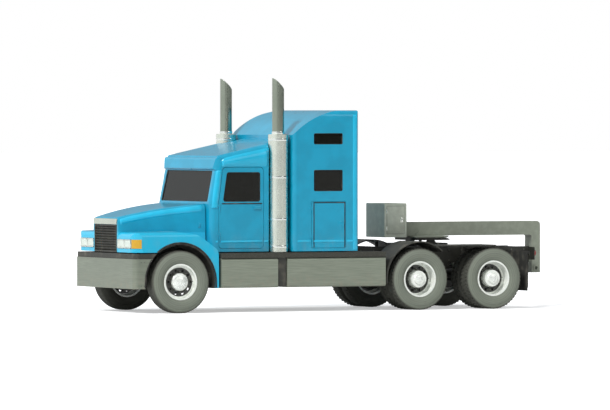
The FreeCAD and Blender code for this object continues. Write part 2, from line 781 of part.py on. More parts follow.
def cab_block(inset, back_x, low):
    """The cab's outer or inner form: upright below the glass, raked above it, with a rising roof."""
    lean = screen_rake / (screen_top_z - scuttle_z)
    half = cab_half - inset
    front = cab_front_x + inset
    high = roof_line(back_x) + 60.0
    loops = []
    for z in (low, scuttle_z):
        loops.append(plan_loop(front, back_x, half, z, pillar_round - inset / 2, 12.0))
    raked = front + (high - scuttle_z) * lean
    loops.append(plan_loop(raked, back_x, half, high, pillar_round - inset / 2, 12.0))
    body = Part.makeLoft(loops, True, True)
    top_front = front + (roof_front_z - scuttle_z) * lean
    side = [
        (front - 60, low), (front - 60, scuttle_z), (top_front - 30, roof_front_z - inset - 6),
        (back_x, roof_line(back_x) - inset), (back_x, low)]
    outline = carried_across(side_loop(side, [0, 0, 90.0, 0, 0], -cab_half - 10), cab_half + 10)
    corners = []
    for x in (front - 60, back_x):
        corners.append(arched_loop(
            x, half, half, low, roof_line(x) - inset + 2.0, roof_edge - inset))
    return body.common(outline).common(Part.makeLoft(corners, True, True))


def side_window(gap, y0, y1):
    """The door window, with its front edge leaning as the windscreen does."""
    points = [
        (window_front_x + gap, window_low + gap), (window_back_x - gap, window_low + gap),
        (window_back_x - gap, window_high - gap), (window_front_x + window_slant + gap, window_high - gap)]
    loop = side_loop(points, [window_round] * 4, min(y0, y1))
    return carried_across(loop, max(y0, y1))


def door_prism(gap, y0, y1):
    """The door's outline through the cab side, with a leaning front edge above the waist."""
    points = [
        (door_front_x + gap, door_low + gap), (door_back_x - gap, door_low + gap),
        (door_back_x - gap, door_high - gap), (door_front_x + window_slant + gap, door_high - gap),
        (door_front_x + gap, window_low)]
    rounds = [door_round, door_round, door_round, door_round, 120.0]
    return carried_across(side_loop(points, rounds, min(y0, y1)), max(y0, y1))


def screen_pane(gap, depth_in, depth_out):
    """The windscreen opening as a slab that follows the rake."""
    lean = screen_rake / (screen_top_z - scuttle_z)
    low = scuttle_z + 30.0 + gap
    high = screen_top_z - 30.0 - gap
    half_low = screen_half - gap
    half_high = half_low - 21.0
    corners = [V(0, -half_low, low), V(0, half_low, low), V(0, half_high, high), V(0, -half_high, high)]
    flat = Part.Face(rounded_loop(corners, [window_round * 0.6] * 4)).extrude(V(depth_in + depth_out, 0, 0))
    shear = FreeCAD.Matrix()
    shear.A13 = lean
    slab = flat.transformGeometry(shear)
    slab.translate(V(cab_front_x - depth_out - scuttle_z * lean, 0, 0))
    return slab


door_hinge_z = [door_low + 180.0, window_low - 130.0]
door_barrel = 90.0
locker_hinge_z = [locker_low + 130.0, locker_high - 170.0]
locker_barrel = 80.0
knuckle_high = 40.0
hinge_leaf = 62.0
screen_half = cab_half - 130.0


def cab_shell():
    """The cab's walls, roof, floor and firewall, open behind into the sleeper."""
    outer = cab_block(0, cab_back_x, cab_low)
    inner = cab_block(cab_wall, cab_back_x + 1, floor_top)
    shell = outer.cut(inner)
    shell = shell.cut(box(
        cab_front_x - 1, cab_back_x + 1, -tunnel_half, tunnel_half, cab_low - 1, floor_low))
    shell = shell.cut(screen_pane(0.0, 120.0, 40.0))
    for s in (-1, 1):
        y0, y1 = s * (cab_half - cab_wall - 60), s * (cab_half + 20)
        shell = shell.cut(door_prism(0.0, y0, y1))
    hinge_x = door_front_x + hinge_inset + door_gap
    leaves = []
    for s in (-1, 1):
        leaves.extend(hinge_knuckles(hinge_x, cab_half, s, door_hinge_z, door_barrel))
    return fused([shell] + leaves)


def hinge_knuckles(x, face_y, side, zs, barrel):
    """The body's own knuckles over a door's hinge barrels, each on a leaf screwed to the body side."""
    pieces = []
    for z in zs:
        low = z + barrel / 2 + seat_gap
        middle = low + knuckle_high / 2
        pieces.append(cylinder((x, side * face_y, middle), hinge_barrel, knuckle_high, UP))
        leaf_y = side * (face_y + seat_gap)
        pieces.append(box(x - hinge_leaf, x, leaf_y, leaf_y + side * 6.0, low, low + knuckle_high))
        foot_x = x - hinge_inset - door_gap * 2 - 2
        y0, y1 = side * (face_y - 1), leaf_y + side * 6.0
        pieces.append(box(x - hinge_leaf, foot_x, y0, y1, low, low + knuckle_high))
    return fused(pieces).Solids


def knuckle_reliefs(x, face_y, side, zs, barrel):
    """Room in a door's edge for the body's knuckles to turn in."""
    reliefs = []
    for z in zs:
        low = z + barrel / 2
        middle = low + (knuckle_high + 2 * seat_gap) / 2
        reliefs.append(cylinder(
            (x, side * face_y, middle), hinge_barrel + 1.0, knuckle_high + 2 * seat_gap, UP))
    return reliefs


def door(side):
    """One cab door: a plate as thick as the wall, with its window cut and hinge barrels."""
    y0, y1 = side * (cab_half - cab_wall), side * cab_half
    leaf = door_prism(door_gap, y0, y1)
    leaf = leaf.cut(side_window(0.0, side * (cab_half - cab_wall - 5), side * (cab_half + 5)))
    hinge_x = door_front_x + hinge_inset + door_gap
    pieces = [leaf]
    for z in door_hinge_z:
        pieces.append(cylinder((hinge_x, side * cab_half, z), hinge_barrel, door_barrel, UP))
    grip_x = door_back_x - 190.0
    y0, y1 = side * (cab_half - 1), side * (cab_half + 16)
    grip = box(grip_x, grip_x + 130, y0, y1, window_low - 120, window_low - 84)
    grip = grip.makeFillet(7.0, [e for e in grip.Edges if e.BoundBox.XLength < 1 and e.BoundBox.ZLength < 1])
    pieces.append(grip)
    leaf = fused(pieces)
    for relief in knuckle_reliefs(hinge_x, cab_half, side, door_hinge_z, door_barrel):
        leaf = leaf.cut(relief)
    return leaf


def door_glass(side):
    """The door's pane, seated in the middle of the door's thickness."""
    middle = cab_half - cab_wall / 2
    return side_window(seat_gap, side * (middle - glass_wall / 2), side * (middle + glass_wall / 2))


def fixed_glass():
    """The windscreen and the four sleeper windows."""
    panes = [screen_pane(seat_gap, cab_wall / 2 + glass_wall / 2, -cab_wall / 2 + glass_wall / 2)]
    middle = sleeper_half - cab_wall / 2
    for low, high in ((port_low, port_high), (vent_low, vent_high)):
        pane = port_prism(low, high, seat_gap, -(middle - glass_wall / 2), -(middle + glass_wall / 2))
        panes.extend(both_sides(pane))
    return panes


def port_prism(low, high, gap, y0, y1):
    """A sleeper window's outline through the wall."""
    points = [(port_front_x + gap, low + gap), (port_back_x - gap, low + gap),
              (port_back_x - gap, high - gap), (port_front_x + gap, high - gap)]
    return carried_across(side_loop(points, [window_round * 0.7] * 4, min(y0, y1)), max(y0, y1))


def locker_prism(gap, y0, y1):
    """The luggage door's outline through the sleeper wall."""
    points = [(locker_front_x + gap, locker_low + gap), (locker_back_x - gap, locker_low + gap),
              (locker_back_x - gap, locker_high - gap), (locker_front_x + gap, locker_high - gap)]
    return carried_across(side_loop(points, [30.0] * 4, min(y0, y1)), max(y0, y1))


def locker_door(side):
    """A luggage door in the sleeper's side, with two barrels on its front edge."""
    leaf = locker_prism(door_gap, side * (sleeper_half - cab_wall), side * sleeper_half)
    hinge_x = locker_front_x + hinge_inset + door_gap
    pieces = [leaf]
    for z in locker_hinge_z:
        pieces.append(cylinder((hinge_x, side * sleeper_half, z), hinge_barrel, locker_barrel, UP))
    latch = box(locker_back_x - 80, locker_back_x - 40, side * (sleeper_half - 1), side * (sleeper_half + 9),
                (locker_low + locker_high) / 2 - 40, (locker_low + locker_high) / 2 + 40)
    pieces.append(latch)
    leaf = fused(pieces)
    for relief in knuckle_reliefs(hinge_x, sleeper_half, side, locker_hinge_z, locker_barrel):
        leaf = leaf.cut(relief)
    return leaf


def sleeper_block(inset, low):
    """The wide part of the sleeper, with the roof fairing's curve and rounded roof edges."""
    half = sleeper_half - inset
    x0 = sleeper_body_x + inset
    x1 = sleeper_back_x - inset
    rise = fairing_top_z - fairing_low_z
    run = fairing_flat_x - sleeper_body_x
    crest = V(fairing_flat_x, -half, fairing_top_z - inset)
    front = x0 - 4.0
    start = V(front, -half, fairing_low_z - inset * 0.6)
    middle = V(sleeper_body_x + run * 0.42 + inset * 0.3, -half, fairing_low_z + rise * 0.735 - inset * 0.9)
    edges = [
        Part.makeLine(V(front, -half, low), start), Part.Arc(start, middle, crest).toShape(),
        Part.makeLine(crest, V(x1, -half, fairing_top_z - inset)),
        Part.makeLine(V(x1, -half, fairing_top_z - inset), V(x1, -half, low)),
        Part.makeLine(V(x1, -half, low), V(front, -half, low))]
    block = Part.Face(Part.Wire(edges)).extrude(V(0, 2 * half, 0))
    roof = Part.Face(arched_loop(
        x0 - 1, half, half, low, fairing_top_z - inset, sleeper_edge)).extrude(V(x1 - x0 + 2, 0, 0))
    plan = Part.Face(plan_loop(x0, x1, half, low, 70.0, 60.0)).extrude(V(0, 0, fairing_top_z))
    return block.common(roof).common(plan)


def recess_block(inset, x0, x1, low):
    """The narrower part between the two exhaust stacks, under the rising roof."""
    half = recess_half - inset
    loops = []
    for x in (x0, x1):
        loops.append(arched_loop(x, half, half, low, roof_line(x) - inset, roof_edge * 0.6))
    return Part.makeLoft(loops, True, True)


def sleeper_shell():
    """The sleeper's walls, open at the front into the cab, with windows and locker holes cut."""
    outer = fused([sleeper_block(0, cab_low), recess_block(0, sleeper_front_x, sleeper_body_x + 90, cab_low)])
    inner = fused([
        sleeper_block(cab_wall, floor_top),
        recess_block(cab_wall, sleeper_front_x - 1, sleeper_body_x + 90, floor_top)])
    shell = outer.cut(inner)
    shell = shell.cut(box(
        sleeper_front_x - 1, sleeper_back_x + 1, -tunnel_half, tunnel_half, cab_low - 1, floor_low))
    for s in (-1, 1):
        y0, y1 = s * (sleeper_half - cab_wall - 30), s * (sleeper_half + 5)
        shell = shell.cut(port_prism(port_low, port_high, 0.0, y0, y1))
        shell = shell.cut(port_prism(vent_low, vent_high, 0.0, y0, y1))
        shell = shell.cut(locker_prism(0.0, y0, y1))
    hinge_x = locker_front_x + hinge_inset + door_gap
    leaves = []
    for s in (-1, 1):
        leaves.extend(hinge_knuckles(hinge_x, sleeper_half, s, locker_hinge_z, locker_barrel))
    return fused([shell] + leaves)


def cab_boot():
    """The black seal between the cab's open back and the sleeper."""
    x0 = cab_back_x + seat_gap
    x1 = sleeper_front_x - seat_gap
    outer = recess_block(20.0, x0, x1, cab_low + 40)
    return outer.cut(recess_block(20.0 + boot_clear, x0 - 1, x1 + 1, floor_top)).cut(
        box(x0 - 1, x1 + 1, -tunnel_half, tunnel_half, cab_low, floor_low))


# Cab fittings
seat_y = 520.0
seat_x = front_axle_x + 1230.0
seat_high = 1500.0
seat_width = 500.0
seat_depth = 500.0
column_x = front_axle_x + 985.0
column_z = 1730.0
wheel_ring = 225.0
wheel_grip = 15.0
column_radius = 24.0
column_lean = 45.0
column_length = 270.0
dash_deep = 250.0
dash_low = scuttle_z - 435.0
bunk_front_x = sleeper_body_x + 420.0
bunk_low = 1620.0
bunk_thick = 130.0
visor_proud = 38.0


def visor():
    """The brow across the top of the windscreen, a rolled moulding that follows the cab's rake."""
    half = cab_half - 10.0
    lean = screen_rake / (screen_top_z - scuttle_z)
    low = screen_top_z - 14.0
    high = roof_front_z - 30.0
    front_low = cab_front_x + (low - scuttle_z) * lean - visor_proud
    front_high = cab_front_x + (high - scuttle_z) * lean - visor_proud
    seat_x1 = front_high + visor_proud + pillar_round
    points = [(front_low, low), (front_high, high), (seat_x1, high), (seat_x1, low)]
    blade = carried_across(side_loop(points, [30.0, 50.0, 0, 0], -half), half)
    blade = blade.cut(cab_block(-seat_gap, cab_back_x, cab_low))
    plan = Part.Face(plan_loop(front_low, seat_x1, half, 0.0, 120.0, 5.0)).extrude(V(0, 0, pipe_high))
    kept = blade.common(plan)
    return max(kept.Solids, key=lambda s: s.Volume)


def dashboard():
    """The dash, a moulded roll across the cab behind the firewall."""
    half = cab_half - cab_wall - pillar_round * 0.25
    x0 = cab_front_x + cab_wall + seat_gap
    points = [
        (x0, dash_low), (x0, scuttle_z - 30.0), (x0 + 90.0, scuttle_z - 24.0),
        (x0 + dash_deep, scuttle_z - 110.0), (x0 + dash_deep - 30, scuttle_z - 250.0), (x0 + 110.0, dash_low)]
    roll = carried_across(side_loop(points, [0, 20, 60, 50, 60, 20], -half), half)
    roll = roll.common(cab_block(cab_wall + seat_gap, cab_back_x, floor_top))
    centre = V(column_x, -seat_y, column_z)
    length = column_length + seat_gap
    post = Part.makeCylinder(
        column_radius + seat_gap, length, centre - column_axis() * length, column_axis())
    return roll.cut(post)


def column_axis():
    """The way the steering column points, up and back."""
    lean = math.radians(column_lean)
    return V(math.sin(lean), 0, math.cos(lean))


def steering_wheel():
    """The rim, three spokes and the column that comes out of the dash, on the driver's side."""
    axis = column_axis()
    centre = V(column_x, -seat_y, column_z)
    ring = Part.makeTorus(wheel_ring, wheel_grip, centre, axis)
    boss = Part.makeCylinder(52.0, 40.0, centre - axis * 30, axis)
    post = Part.makeCylinder(column_radius, column_length, centre - axis * column_length, axis)
    side = V(0, 1, 0)
    fall = axis.cross(side)
    spokes = []
    for angle in (90.0, 210.0, 330.0):
        turn = math.radians(angle)
        away = side * math.cos(turn) + fall * math.sin(turn)
        spokes.append(Part.makeCylinder(12.0, wheel_ring - 4, centre, away))
    return fused([ring, boss, post] + spokes)


def seat(y):
    """One seat: a pedestal, a cushion and a leaning back with a head rest."""
    half = seat_width / 2
    low = floor_top + seat_gap
    side = [(seat_x - seat_depth / 2, seat_high - 130), (seat_x - seat_depth / 2, seat_high),
            (seat_x + seat_depth / 2 - 130, seat_high - 30), (seat_x + seat_depth / 2 - 50, seat_high + 640),
            (seat_x + seat_depth / 2 + 60, seat_high + 640), (seat_x + seat_depth / 2, seat_high - 130)]
    body = carried_across(side_loop(side, [40, 50, 60, 50, 50, 60], y - half), y + half)
    base = box(seat_x - 150, seat_x + 150, y - 150, y + 150, low, seat_high - 125)
    head = box(seat_x + seat_depth / 2 - 40, seat_x + seat_depth / 2 + 56, y - 130, y + 130,
               seat_high + 630, seat_high + 800)
    head = head.makeFillet(30.0, head.Edges)
    return fused([body, base, head])


def seats():
    return [seat(-seat_y), seat(seat_y)]


def bunk():
    """The sleeping bunk: a base across the sleeper and its mattress."""
    half = sleeper_half - cab_wall - seat_gap
    back = sleeper_back_x - cab_wall - seat_gap
    slab = box(bunk_front_x, back, -half, half, bunk_low, bunk_low + bunk_thick)
    slab = slab.makeFillet(36.0, [e for e in slab.Edges if e.BoundBox.XMax < bunk_front_x + 1])
    board = box(bunk_front_x + 20, bunk_front_x + 44, -half, half, floor_top + seat_gap, bunk_low + 10)
    room = sleeper_block(cab_wall + seat_gap, floor_top)
    return fused([slab, board]).common(room)


def stack_shields():
    """The fat bright silencers, each open at the ends round its pipe."""
    low = strip_high + seat_gap
    length = shield_high - low
    centre = (stack_x, -stack_y, low + length / 2)
    can = cylinder(centre, shield_radius, length, UP)
    can = can.makeChamfer(10.0, [e for e in can.Edges if e.Curve.TypeId == "Part::GeomCircle"])
    bore = cylinder(centre, pipe_radius + seat_gap, length + 2, UP)
    strap_z = [low + length * 0.3, low + length * 0.75]
    arms = [
        box(stack_x - 30, stack_x + 30, -stack_y, -recess_half - seat_gap, z - 20, z + 20) for z in strap_z]
    return both_sides(fused([can] + arms).cut(bore))


def stack_pipes():
    """The stack pipes with their slant-cut tips, highest at the front."""
    low = side_high + seat_gap
    length = pipe_high - low
    centre = (stack_x, -stack_y, low + length / 2)
    pipe = cylinder(centre, pipe_radius, length, UP)
    pipe = pipe.cut(cylinder((stack_x, -stack_y, pipe_high), pipe_radius - pipe_wall, 2 * 1300.0, UP))
    wedge = side_prism(
        [(stack_x - pipe_radius, pipe_high), (stack_x + pipe_radius + 5, pipe_high + 5),
         (stack_x + pipe_radius + 5, pipe_high - 2 * pipe_radius - 5)], -stack_y - 200, -stack_y + 200)
    return both_sides(pipe.cut(wedge))


def exhaust_links():
    """The black pillar below each stack, with a pipe that runs in to the engine's side."""
    low = side_low + 20.0
    high = side_high
    in_y = body_half - 330.0
    pillar = box(stack_x - pillar_x_half, stack_x + pillar_x_half, -body_half + 22, -in_y, low, high)
    reach_y = rail_outside + seat_gap
    arm_z = rail_top - rail_depth + 65.0
    arm = cylinder((stack_x, -(in_y + 10.0 + reach_y) / 2, arm_z), link_radius, in_y + 10.0 - reach_y, ACROSS)
    return both_sides(fused([pillar, arm]))


def side_tank(x0, x1):
    """A tank or box on the frame's left: square inside, round at its outer corners."""
    y_out = -body_half + 2.0
    y_in = -tank_in_y
    corners = [V(x0, y_in, side_low), V(x0, y_out, side_low), V(x0, y_out, side_high), V(x0, y_in, side_high)]
    wire = rounded_loop(corners, [tank_round * 0.4, tank_round * 0.35, tank_round * 0.35, tank_round * 0.4])
    return Part.Face(wire).extrude(V(x1 - x0, 0, 0)), y_in


def outrigger(x, y_in, z0, z1):
    """A bracket from the rail's web out to a tank or box."""
    return box(x - 30, x + 30, -rail_outside - seat_gap, y_in - 1, z0, z1)


def fuel_tanks():
    """The fuel tanks under the sleeper, on brackets from the rails."""
    body, y_in = side_tank(tank_front_x, tank_back_x)
    pieces = [body]
    for x in (tank_front_x + 320.0, tank_back_x - 420.0):
        pieces.append(outrigger(x, y_in, rail_top - rail_depth + 10, side_high - 20))
    return both_sides(fused(pieces))


def step_boxes():
    """The step and battery boxes under the doors."""
    body, y_in = side_tank(step_front_x, step_back_x)
    middle = (step_front_x + step_back_x) / 2
    arm = outrigger(middle, y_in, rail_top - rail_depth + 10, side_high - 20)
    return both_sides(fused([body, arm]))


def side_treads():
    """The black tread strips that cap the boxes and tanks, from wing to rear wheel."""
    y_out = -body_half - tread_proud + 8.0
    low = side_high + seat_gap
    back_x = tank_back_x + 6.0
    points = [(step_front_x, low), (step_front_x, strip_high), (back_x, strip_high), (back_x, low)]
    y_in = -tank_in_y
    strip = carried_across(side_loop(points, [0, 0, 0, 0], y_out), y_in)
    for x0, x1 in ((step_front_x + 30, step_back_x - 20), (tank_front_x + 20, tank_back_x - 30)):
        strip = strip.cut(box(x0, x1, y_out + 30, y_in - 30, low - 1, strip_high - 24))
    hole = cylinder((stack_x, -stack_y, strip_high), pipe_radius + seat_gap, 400.0, UP)
    return both_sides(strip.cut(hole))


def rear_wing():
    """The black rear wing on the left: an arch over the first wheel, then a flat run back."""
    y_out = -body_half - 4.0
    y_in = -rear_wing_in_y
    x1, x2 = tandem_x
    outer = arch_radius - seat_gap
    high = axle_z + outer
    ring = cylinder((x1, (y_out + y_in) / 2, axle_z), outer, y_in - y_out, ACROSS)
    inner = cylinder((x1, (y_out + y_in) / 2, axle_z), outer - rear_wing_wall, y_in - y_out + 2, ACROSS)
    flat_z = axle_z + tyre_radius + 50.0
    keep = side_prism(
        [(x1 - outer - 5, axle_z - 60), (x1 - outer - 5, high + 5), (x1 + 420.0, high + 5),
         (x1 + 420.0, axle_z + 300), (x1, axle_z), (x1, axle_z - 60)], y_out, y_in)
    arch = ring.cut(inner).common(keep)
    join_x = x1 + math.sqrt(outer ** 2 - (flat_z - axle_z) ** 2) - rear_wing_wall
    run = box(join_x, x2 + 40.0, y_out, y_in, flat_z - rear_wing_wall, flat_z)
    run = run.cut(inner)
    drop = box(x2 + 20, x2 + 40, y_out, y_in, flat_z - 60, flat_z)
    clear_tyre = cylinder((x2, (y_out + y_in) / 2, axle_z), tyre_radius + 16, y_in - y_out + 2, ACROSS)
    arms = [
        box(x - 22, x + 22, y_in - 10, -rail_outside - seat_gap, z - 44, z)
        for x, z in ((x1, high - 4), (x2 - 200, flat_z - 2))]
    posts = [box(x - 22, x + 22, -rail_outside - 40, -rail_outside - seat_gap, rail_top - 120, z)
             for x, z in ((x1, high - 4), (x2 - 200, flat_z - 2))]
    whole = fused([arch, run, drop.cut(clear_tyre)] + arms + posts)
    return whole


def rear_wings():
    return both_sides(rear_wing())


def mud_flaps():
    """The flaps behind the last wheels, on arms from the frame."""
    y0, y1 = -body_half + 10, -rear_wing_in_y
    flap = box(flap_x, flap_x + 12, y0, y1, flap_low, rail_top - 60)
    arm = box(flap_x + 12 - 2, flap_x + 52, y0, -rail_outside - seat_gap, rail_top - 110, rail_top - 66)
    return both_sides(fused([flap, arm]))


def tail_bar():
    """The end crossmember across the rails' ends."""
    low = rail_top - rail_depth
    x0 = frame_back_x + seat_gap
    bar = box(x0, x0 + 12, -620.0, 620.0, low + 40, rail_top - 10)
    return bar.makeFillet(20.0, [e for e in bar.Edges if e.BoundBox.XLength > 1])


def tail_lamps():
    """Three round red lamps each side on the end crossmember."""
    x0 = frame_back_x + 12 + 2 * seat_gap
    lamps = []
    for y in (560.0, 440.0, 320.0):
        lamp = cylinder((x0 + 12, -y, rail_top - 110.0), 50.0, 24.0, ALONG)
        lamps.extend(both_sides(lamp))
    return lamps


def fifth_wheel_base():
    """The mounting plate on the rails and the two cheeks that carry the coupling plate."""
    low = rail_top + seat_gap
    half = rail_outside + 10.0
    mount = box(coupling_x - 300, coupling_x + 300, -half, half, low, low + 20)
    pieces = [mount]
    for s in (-1, 1):
        y = s * (rail_outside - 40)
        cheek = [(coupling_x - 150, low + 19), (coupling_x - 60, plate_high - plate_thick - seat_gap),
                 (coupling_x + 60, plate_high - plate_thick - seat_gap), (coupling_x + 150, low + 19)]
        pieces.append(side_prism(cheek, y - 24, y + 24))
    return fused(pieces)


def fifth_wheel_plate():
    """The coupling plate: round-nosed, with ramps and a flared throat open to the back."""
    z0 = plate_high - plate_thick
    x0, x1 = coupling_x - plate_front, coupling_x + plate_back
    corners = [V(x0, -plate_half, z0), V(x1 - 160, -plate_half, z0), V(x1, -plate_half * 0.62, z0),
               V(x1, plate_half * 0.62, z0), V(x1 - 160, plate_half, z0), V(x0, plate_half, z0)]
    slab = Part.Face(rounded_loop(corners, [190.0, 60, 30, 30, 60, 190.0])).extrude(V(0, 0, plate_thick))
    throat = [V(coupling_x, -kingpin_radius - seat_gap, z0 - 1), V(coupling_x + 130, -throat_half, z0 - 1),
              V(x1 + 5, -plate_half * 0.5, z0 - 1), V(x1 + 5, plate_half * 0.5, z0 - 1),
              V(coupling_x + 130, throat_half, z0 - 1), V(coupling_x, kingpin_radius + seat_gap, z0 - 1)]
    mouth = Part.Face(Part.makePolygon(throat + throat[:1])).extrude(V(0, 0, plate_thick + 2))
    eye = cylinder((coupling_x, 0, plate_high), kingpin_radius + seat_gap, 400.0, UP)
    ramp = side_prism([(x1 - 170, plate_high + 1), (x1 + 1, plate_high + 1), (x1 + 1, plate_high - 34)],
                      -plate_half - 1, plate_half + 1)
    return slab.cut(mouth).cut(eye).cut(ramp)


# Towing neck and wheels
neck_bolster_half = 400.0
neck_bolster_front = 300.0
neck_bolster_back = 360.0
neck_boss_radius = 54.0
neck_boss_proud = 12.0
bead_half = 102.0
bead_high = 304.0
shoulder_radius = 500.0
shoulder_half = 122.0
crown_half = 106.0
bulge_radius = 408.0
disc_wall = 18.0
front_disc_out = 34.0
dual_disc_out = 52.0
drum_radius = 200.0


def neck_beam():
    """The hollow beam over the drive wheels, its drop behind them, bolster and kingpin."""
    x0 = neck_box_back_x + seat_gap
    x1 = tail_x
    w = neck_wall
    outline = [
        (x0, neck_low), (x1 - neck_drop_thick, neck_low), (x1 - neck_drop_thick, neck_drop_low),
        (x1, neck_drop_low), (x1, neck_high), (x0, neck_high)]
    rounds = [0, 40.0, 0, 0, 60.0, 0]
    beam = carried_across(side_loop(outline, rounds, -neck_half), neck_half)
    hollow = [
        (x0 + w, neck_low + w), (x1 - neck_drop_thick + w, neck_low + w),
        (x1 - neck_drop_thick + w, neck_drop_low - 1), (x1 - w, neck_drop_low - 1),
        (x1 - w, neck_high - w), (x0 + w, neck_high - w)]
    beam = beam.cut(carried_across(
        side_loop(hollow, [0, 40.0 + w, 0, 0, 60.0 - w, 0], -neck_half + w), neck_half - w))
    flange = box(x0, x0 + 20, -neck_half - 70, neck_half + 70, neck_low - 10, neck_high + 30)
    bolster = box(coupling_x - neck_bolster_front, coupling_x + neck_bolster_back, -neck_bolster_half,
                  neck_bolster_half, plate_high + seat_gap, neck_low)
    bolster = bolster.makeFillet(60.0, [
        e for e in bolster.Edges if e.BoundBox.XLength < 1 and e.BoundBox.YLength < 1])
    pin = cylinder((coupling_x, 0, plate_high + 2 - kingpin_length / 2), kingpin_radius, kingpin_length, UP)
    eye_x = x1 - neck_drop_thick / 2
    pieces = [beam, flange, bolster, pin]
    for s in (-1, 1):
        boss_y = s * (neck_half + neck_boss_proud / 2 - 1)
        pieces.append(cylinder((eye_x, boss_y, neck_eye_z), neck_boss_radius, neck_boss_proud + 2, ACROSS))
        gusset = [(coupling_x - 200, neck_low - 1), (coupling_x + 260, neck_low - 1),
                  (coupling_x + 120, neck_low + 90),
                  (coupling_x - 60, neck_low + 90)]
        y0 = s * (neck_half - 1)
        pieces.append(side_prism(gusset, y0, s * (neck_half + 16)))
    eye = cylinder((eye_x, 0, neck_eye_z), neck_eye_radius, 4 * neck_half, ACROSS)
    return fused(pieces).cut(eye)


def neck_box():
    """The closed equipment box on the front end of the neck."""
    case = box(neck_box_front_x, neck_box_back_x, -neck_box_half, neck_box_half, neck_low - 20, neck_box_high)
    return case.makeFillet(18.0, [e for e in case.Edges if e.BoundBox.ZMin > neck_low])


def spun(points, closed_arcs, centre, side):
    """A ring turned about an axle: (distance out, radius) points, with arcs where they are given."""
    edges = []
    count = len(points)
    at = [V(0, u, r) for u, r in points]
    for i in range(count):
        start, end = at[i], at[(i + 1) % count]
        if i in closed_arcs:
            u, r = closed_arcs[i]
            edges.append(Part.Arc(start, V(0, u, r), end).toShape())
        else:
            edges.append(Part.makeLine(start, end))
    ring = Part.Face(Part.Wire(edges)).revolve(V(0, 0, 0), ACROSS, 360)
    if side < 0:
        ring = ring.mirror(V(0, 0, 0), ACROSS)
    ring.translate(V(*centre))
    return ring


def tyre(x, y, side):
    """A tyre with straight beads, bulged walls and a flat crown."""
    half = tyre_width / 2
    points = [
        (-bead_half, tyre_bore), (bead_half, tyre_bore), (bead_half, bead_high),
        (shoulder_half, shoulder_radius), (crown_half, tyre_radius), (-crown_half, tyre_radius),
        (-shoulder_half, shoulder_radius),
        (-bead_half, bead_high)]
    arcs = {2: (half, bulge_radius), 6: (-half, bulge_radius)}
    return spun(points, arcs, (x, y, axle_z), side)


def barrel_points(disc_u):
    """The rim's section: a barrel with a lip at each end and a disc standing in at disc_u."""
    out = tyre_bore - seat_gap
    inside = out - rim_wall
    end = bead_half + seat_gap
    lip = end + 10.0
    return [
        (-lip, inside), (-lip, rim_lip), (-end, rim_lip), (-end, out), (end, out), (end, rim_lip),
        (lip, rim_lip), (lip, inside), (disc_u + disc_wall, inside), (disc_u + disc_wall, hub_radius - 4),
        (disc_u, hub_radius - 4), (disc_u, inside)]


def hand_hole_cut(rim, x, y):
    for i in range(hand_holes):
        turn = 2 * math.pi * i / hand_holes
        at = (x + hand_hole_circle * math.cos(turn), y, axle_z + hand_hole_circle * math.sin(turn))
        rim = rim.cut(cylinder(at, hand_hole_radius, 3 * disc_wall, ACROSS))
    return rim


def hub(start, knee, end, bore_end):
    """The hub's section: drum-side step, waist and cap, with a blind bore for the spindle."""
    bore = spindle_radius + wheel_fit
    cap = hub_radius * 0.62
    return [
        (start, bore), (start, drum_radius), (knee, drum_radius), (knee, hub_radius),
        (end - 22, hub_radius * 0.93), (end - 22, cap), (end, cap * 0.86), (end, 0.0),
        (bore_end, 0.0), (bore_end, bore)]


def front_rim(side):
    """A front wheel's rim, disc, hub and drum as one."""
    centre_y = side * front_track / 2
    at = (front_axle_x, centre_y, axle_z)
    rim = spun(barrel_points(front_disc_out), {}, at, side)
    rim = hand_hole_cut(rim, front_axle_x, centre_y + side * (front_disc_out + disc_wall / 2))
    start = -front_track / 2 + kingpin_y + knuckle_eye_radius + 36.0
    section = hub(start, front_disc_out - 20, front_disc_out + disc_wall + hub_proud + 20, 61.0)
    middle = spun(section, {}, at, side)
    return fused([rim, middle])


def rear_rims(x, side):
    """The paired rims of one drive wheel with their shared hub and drum."""
    half_pair = (tyre_width + dual_gap) / 2
    outer_y = side * (dual_centre_y + half_pair)
    inner_y = side * (dual_centre_y - half_pair)
    outer = spun(barrel_points(-dual_disc_out - disc_wall), {}, (x, outer_y, axle_z), side)
    outer = hand_hole_cut(outer, x, outer_y - side * (dual_disc_out + disc_wall / 2))
    inner = spun(barrel_points(dual_disc_out), {}, (x, inner_y, axle_z), side)
    start = axle_tube_y + bore_clear - dual_centre_y
    knee = half_pair - dual_disc_out - disc_wall - 30.0
    section = hub(start, -60.0, half_pair + 96.0, dual_hub_bore)
    middle = spun(section, {}, (x, side * dual_centre_y, axle_z), side)
    web = tube((x, side * dual_centre_y, axle_z), hub_radius + 30, 40.0, 2 * knee + 70, ACROSS)
    return fused([outer, inner, middle, web])


def rear_tyres(x, side):
    half_pair = (tyre_width + dual_gap) / 2
    return [tyre(x, side * (dual_centre_y + s * half_pair), side) for s in (-1, 1)]


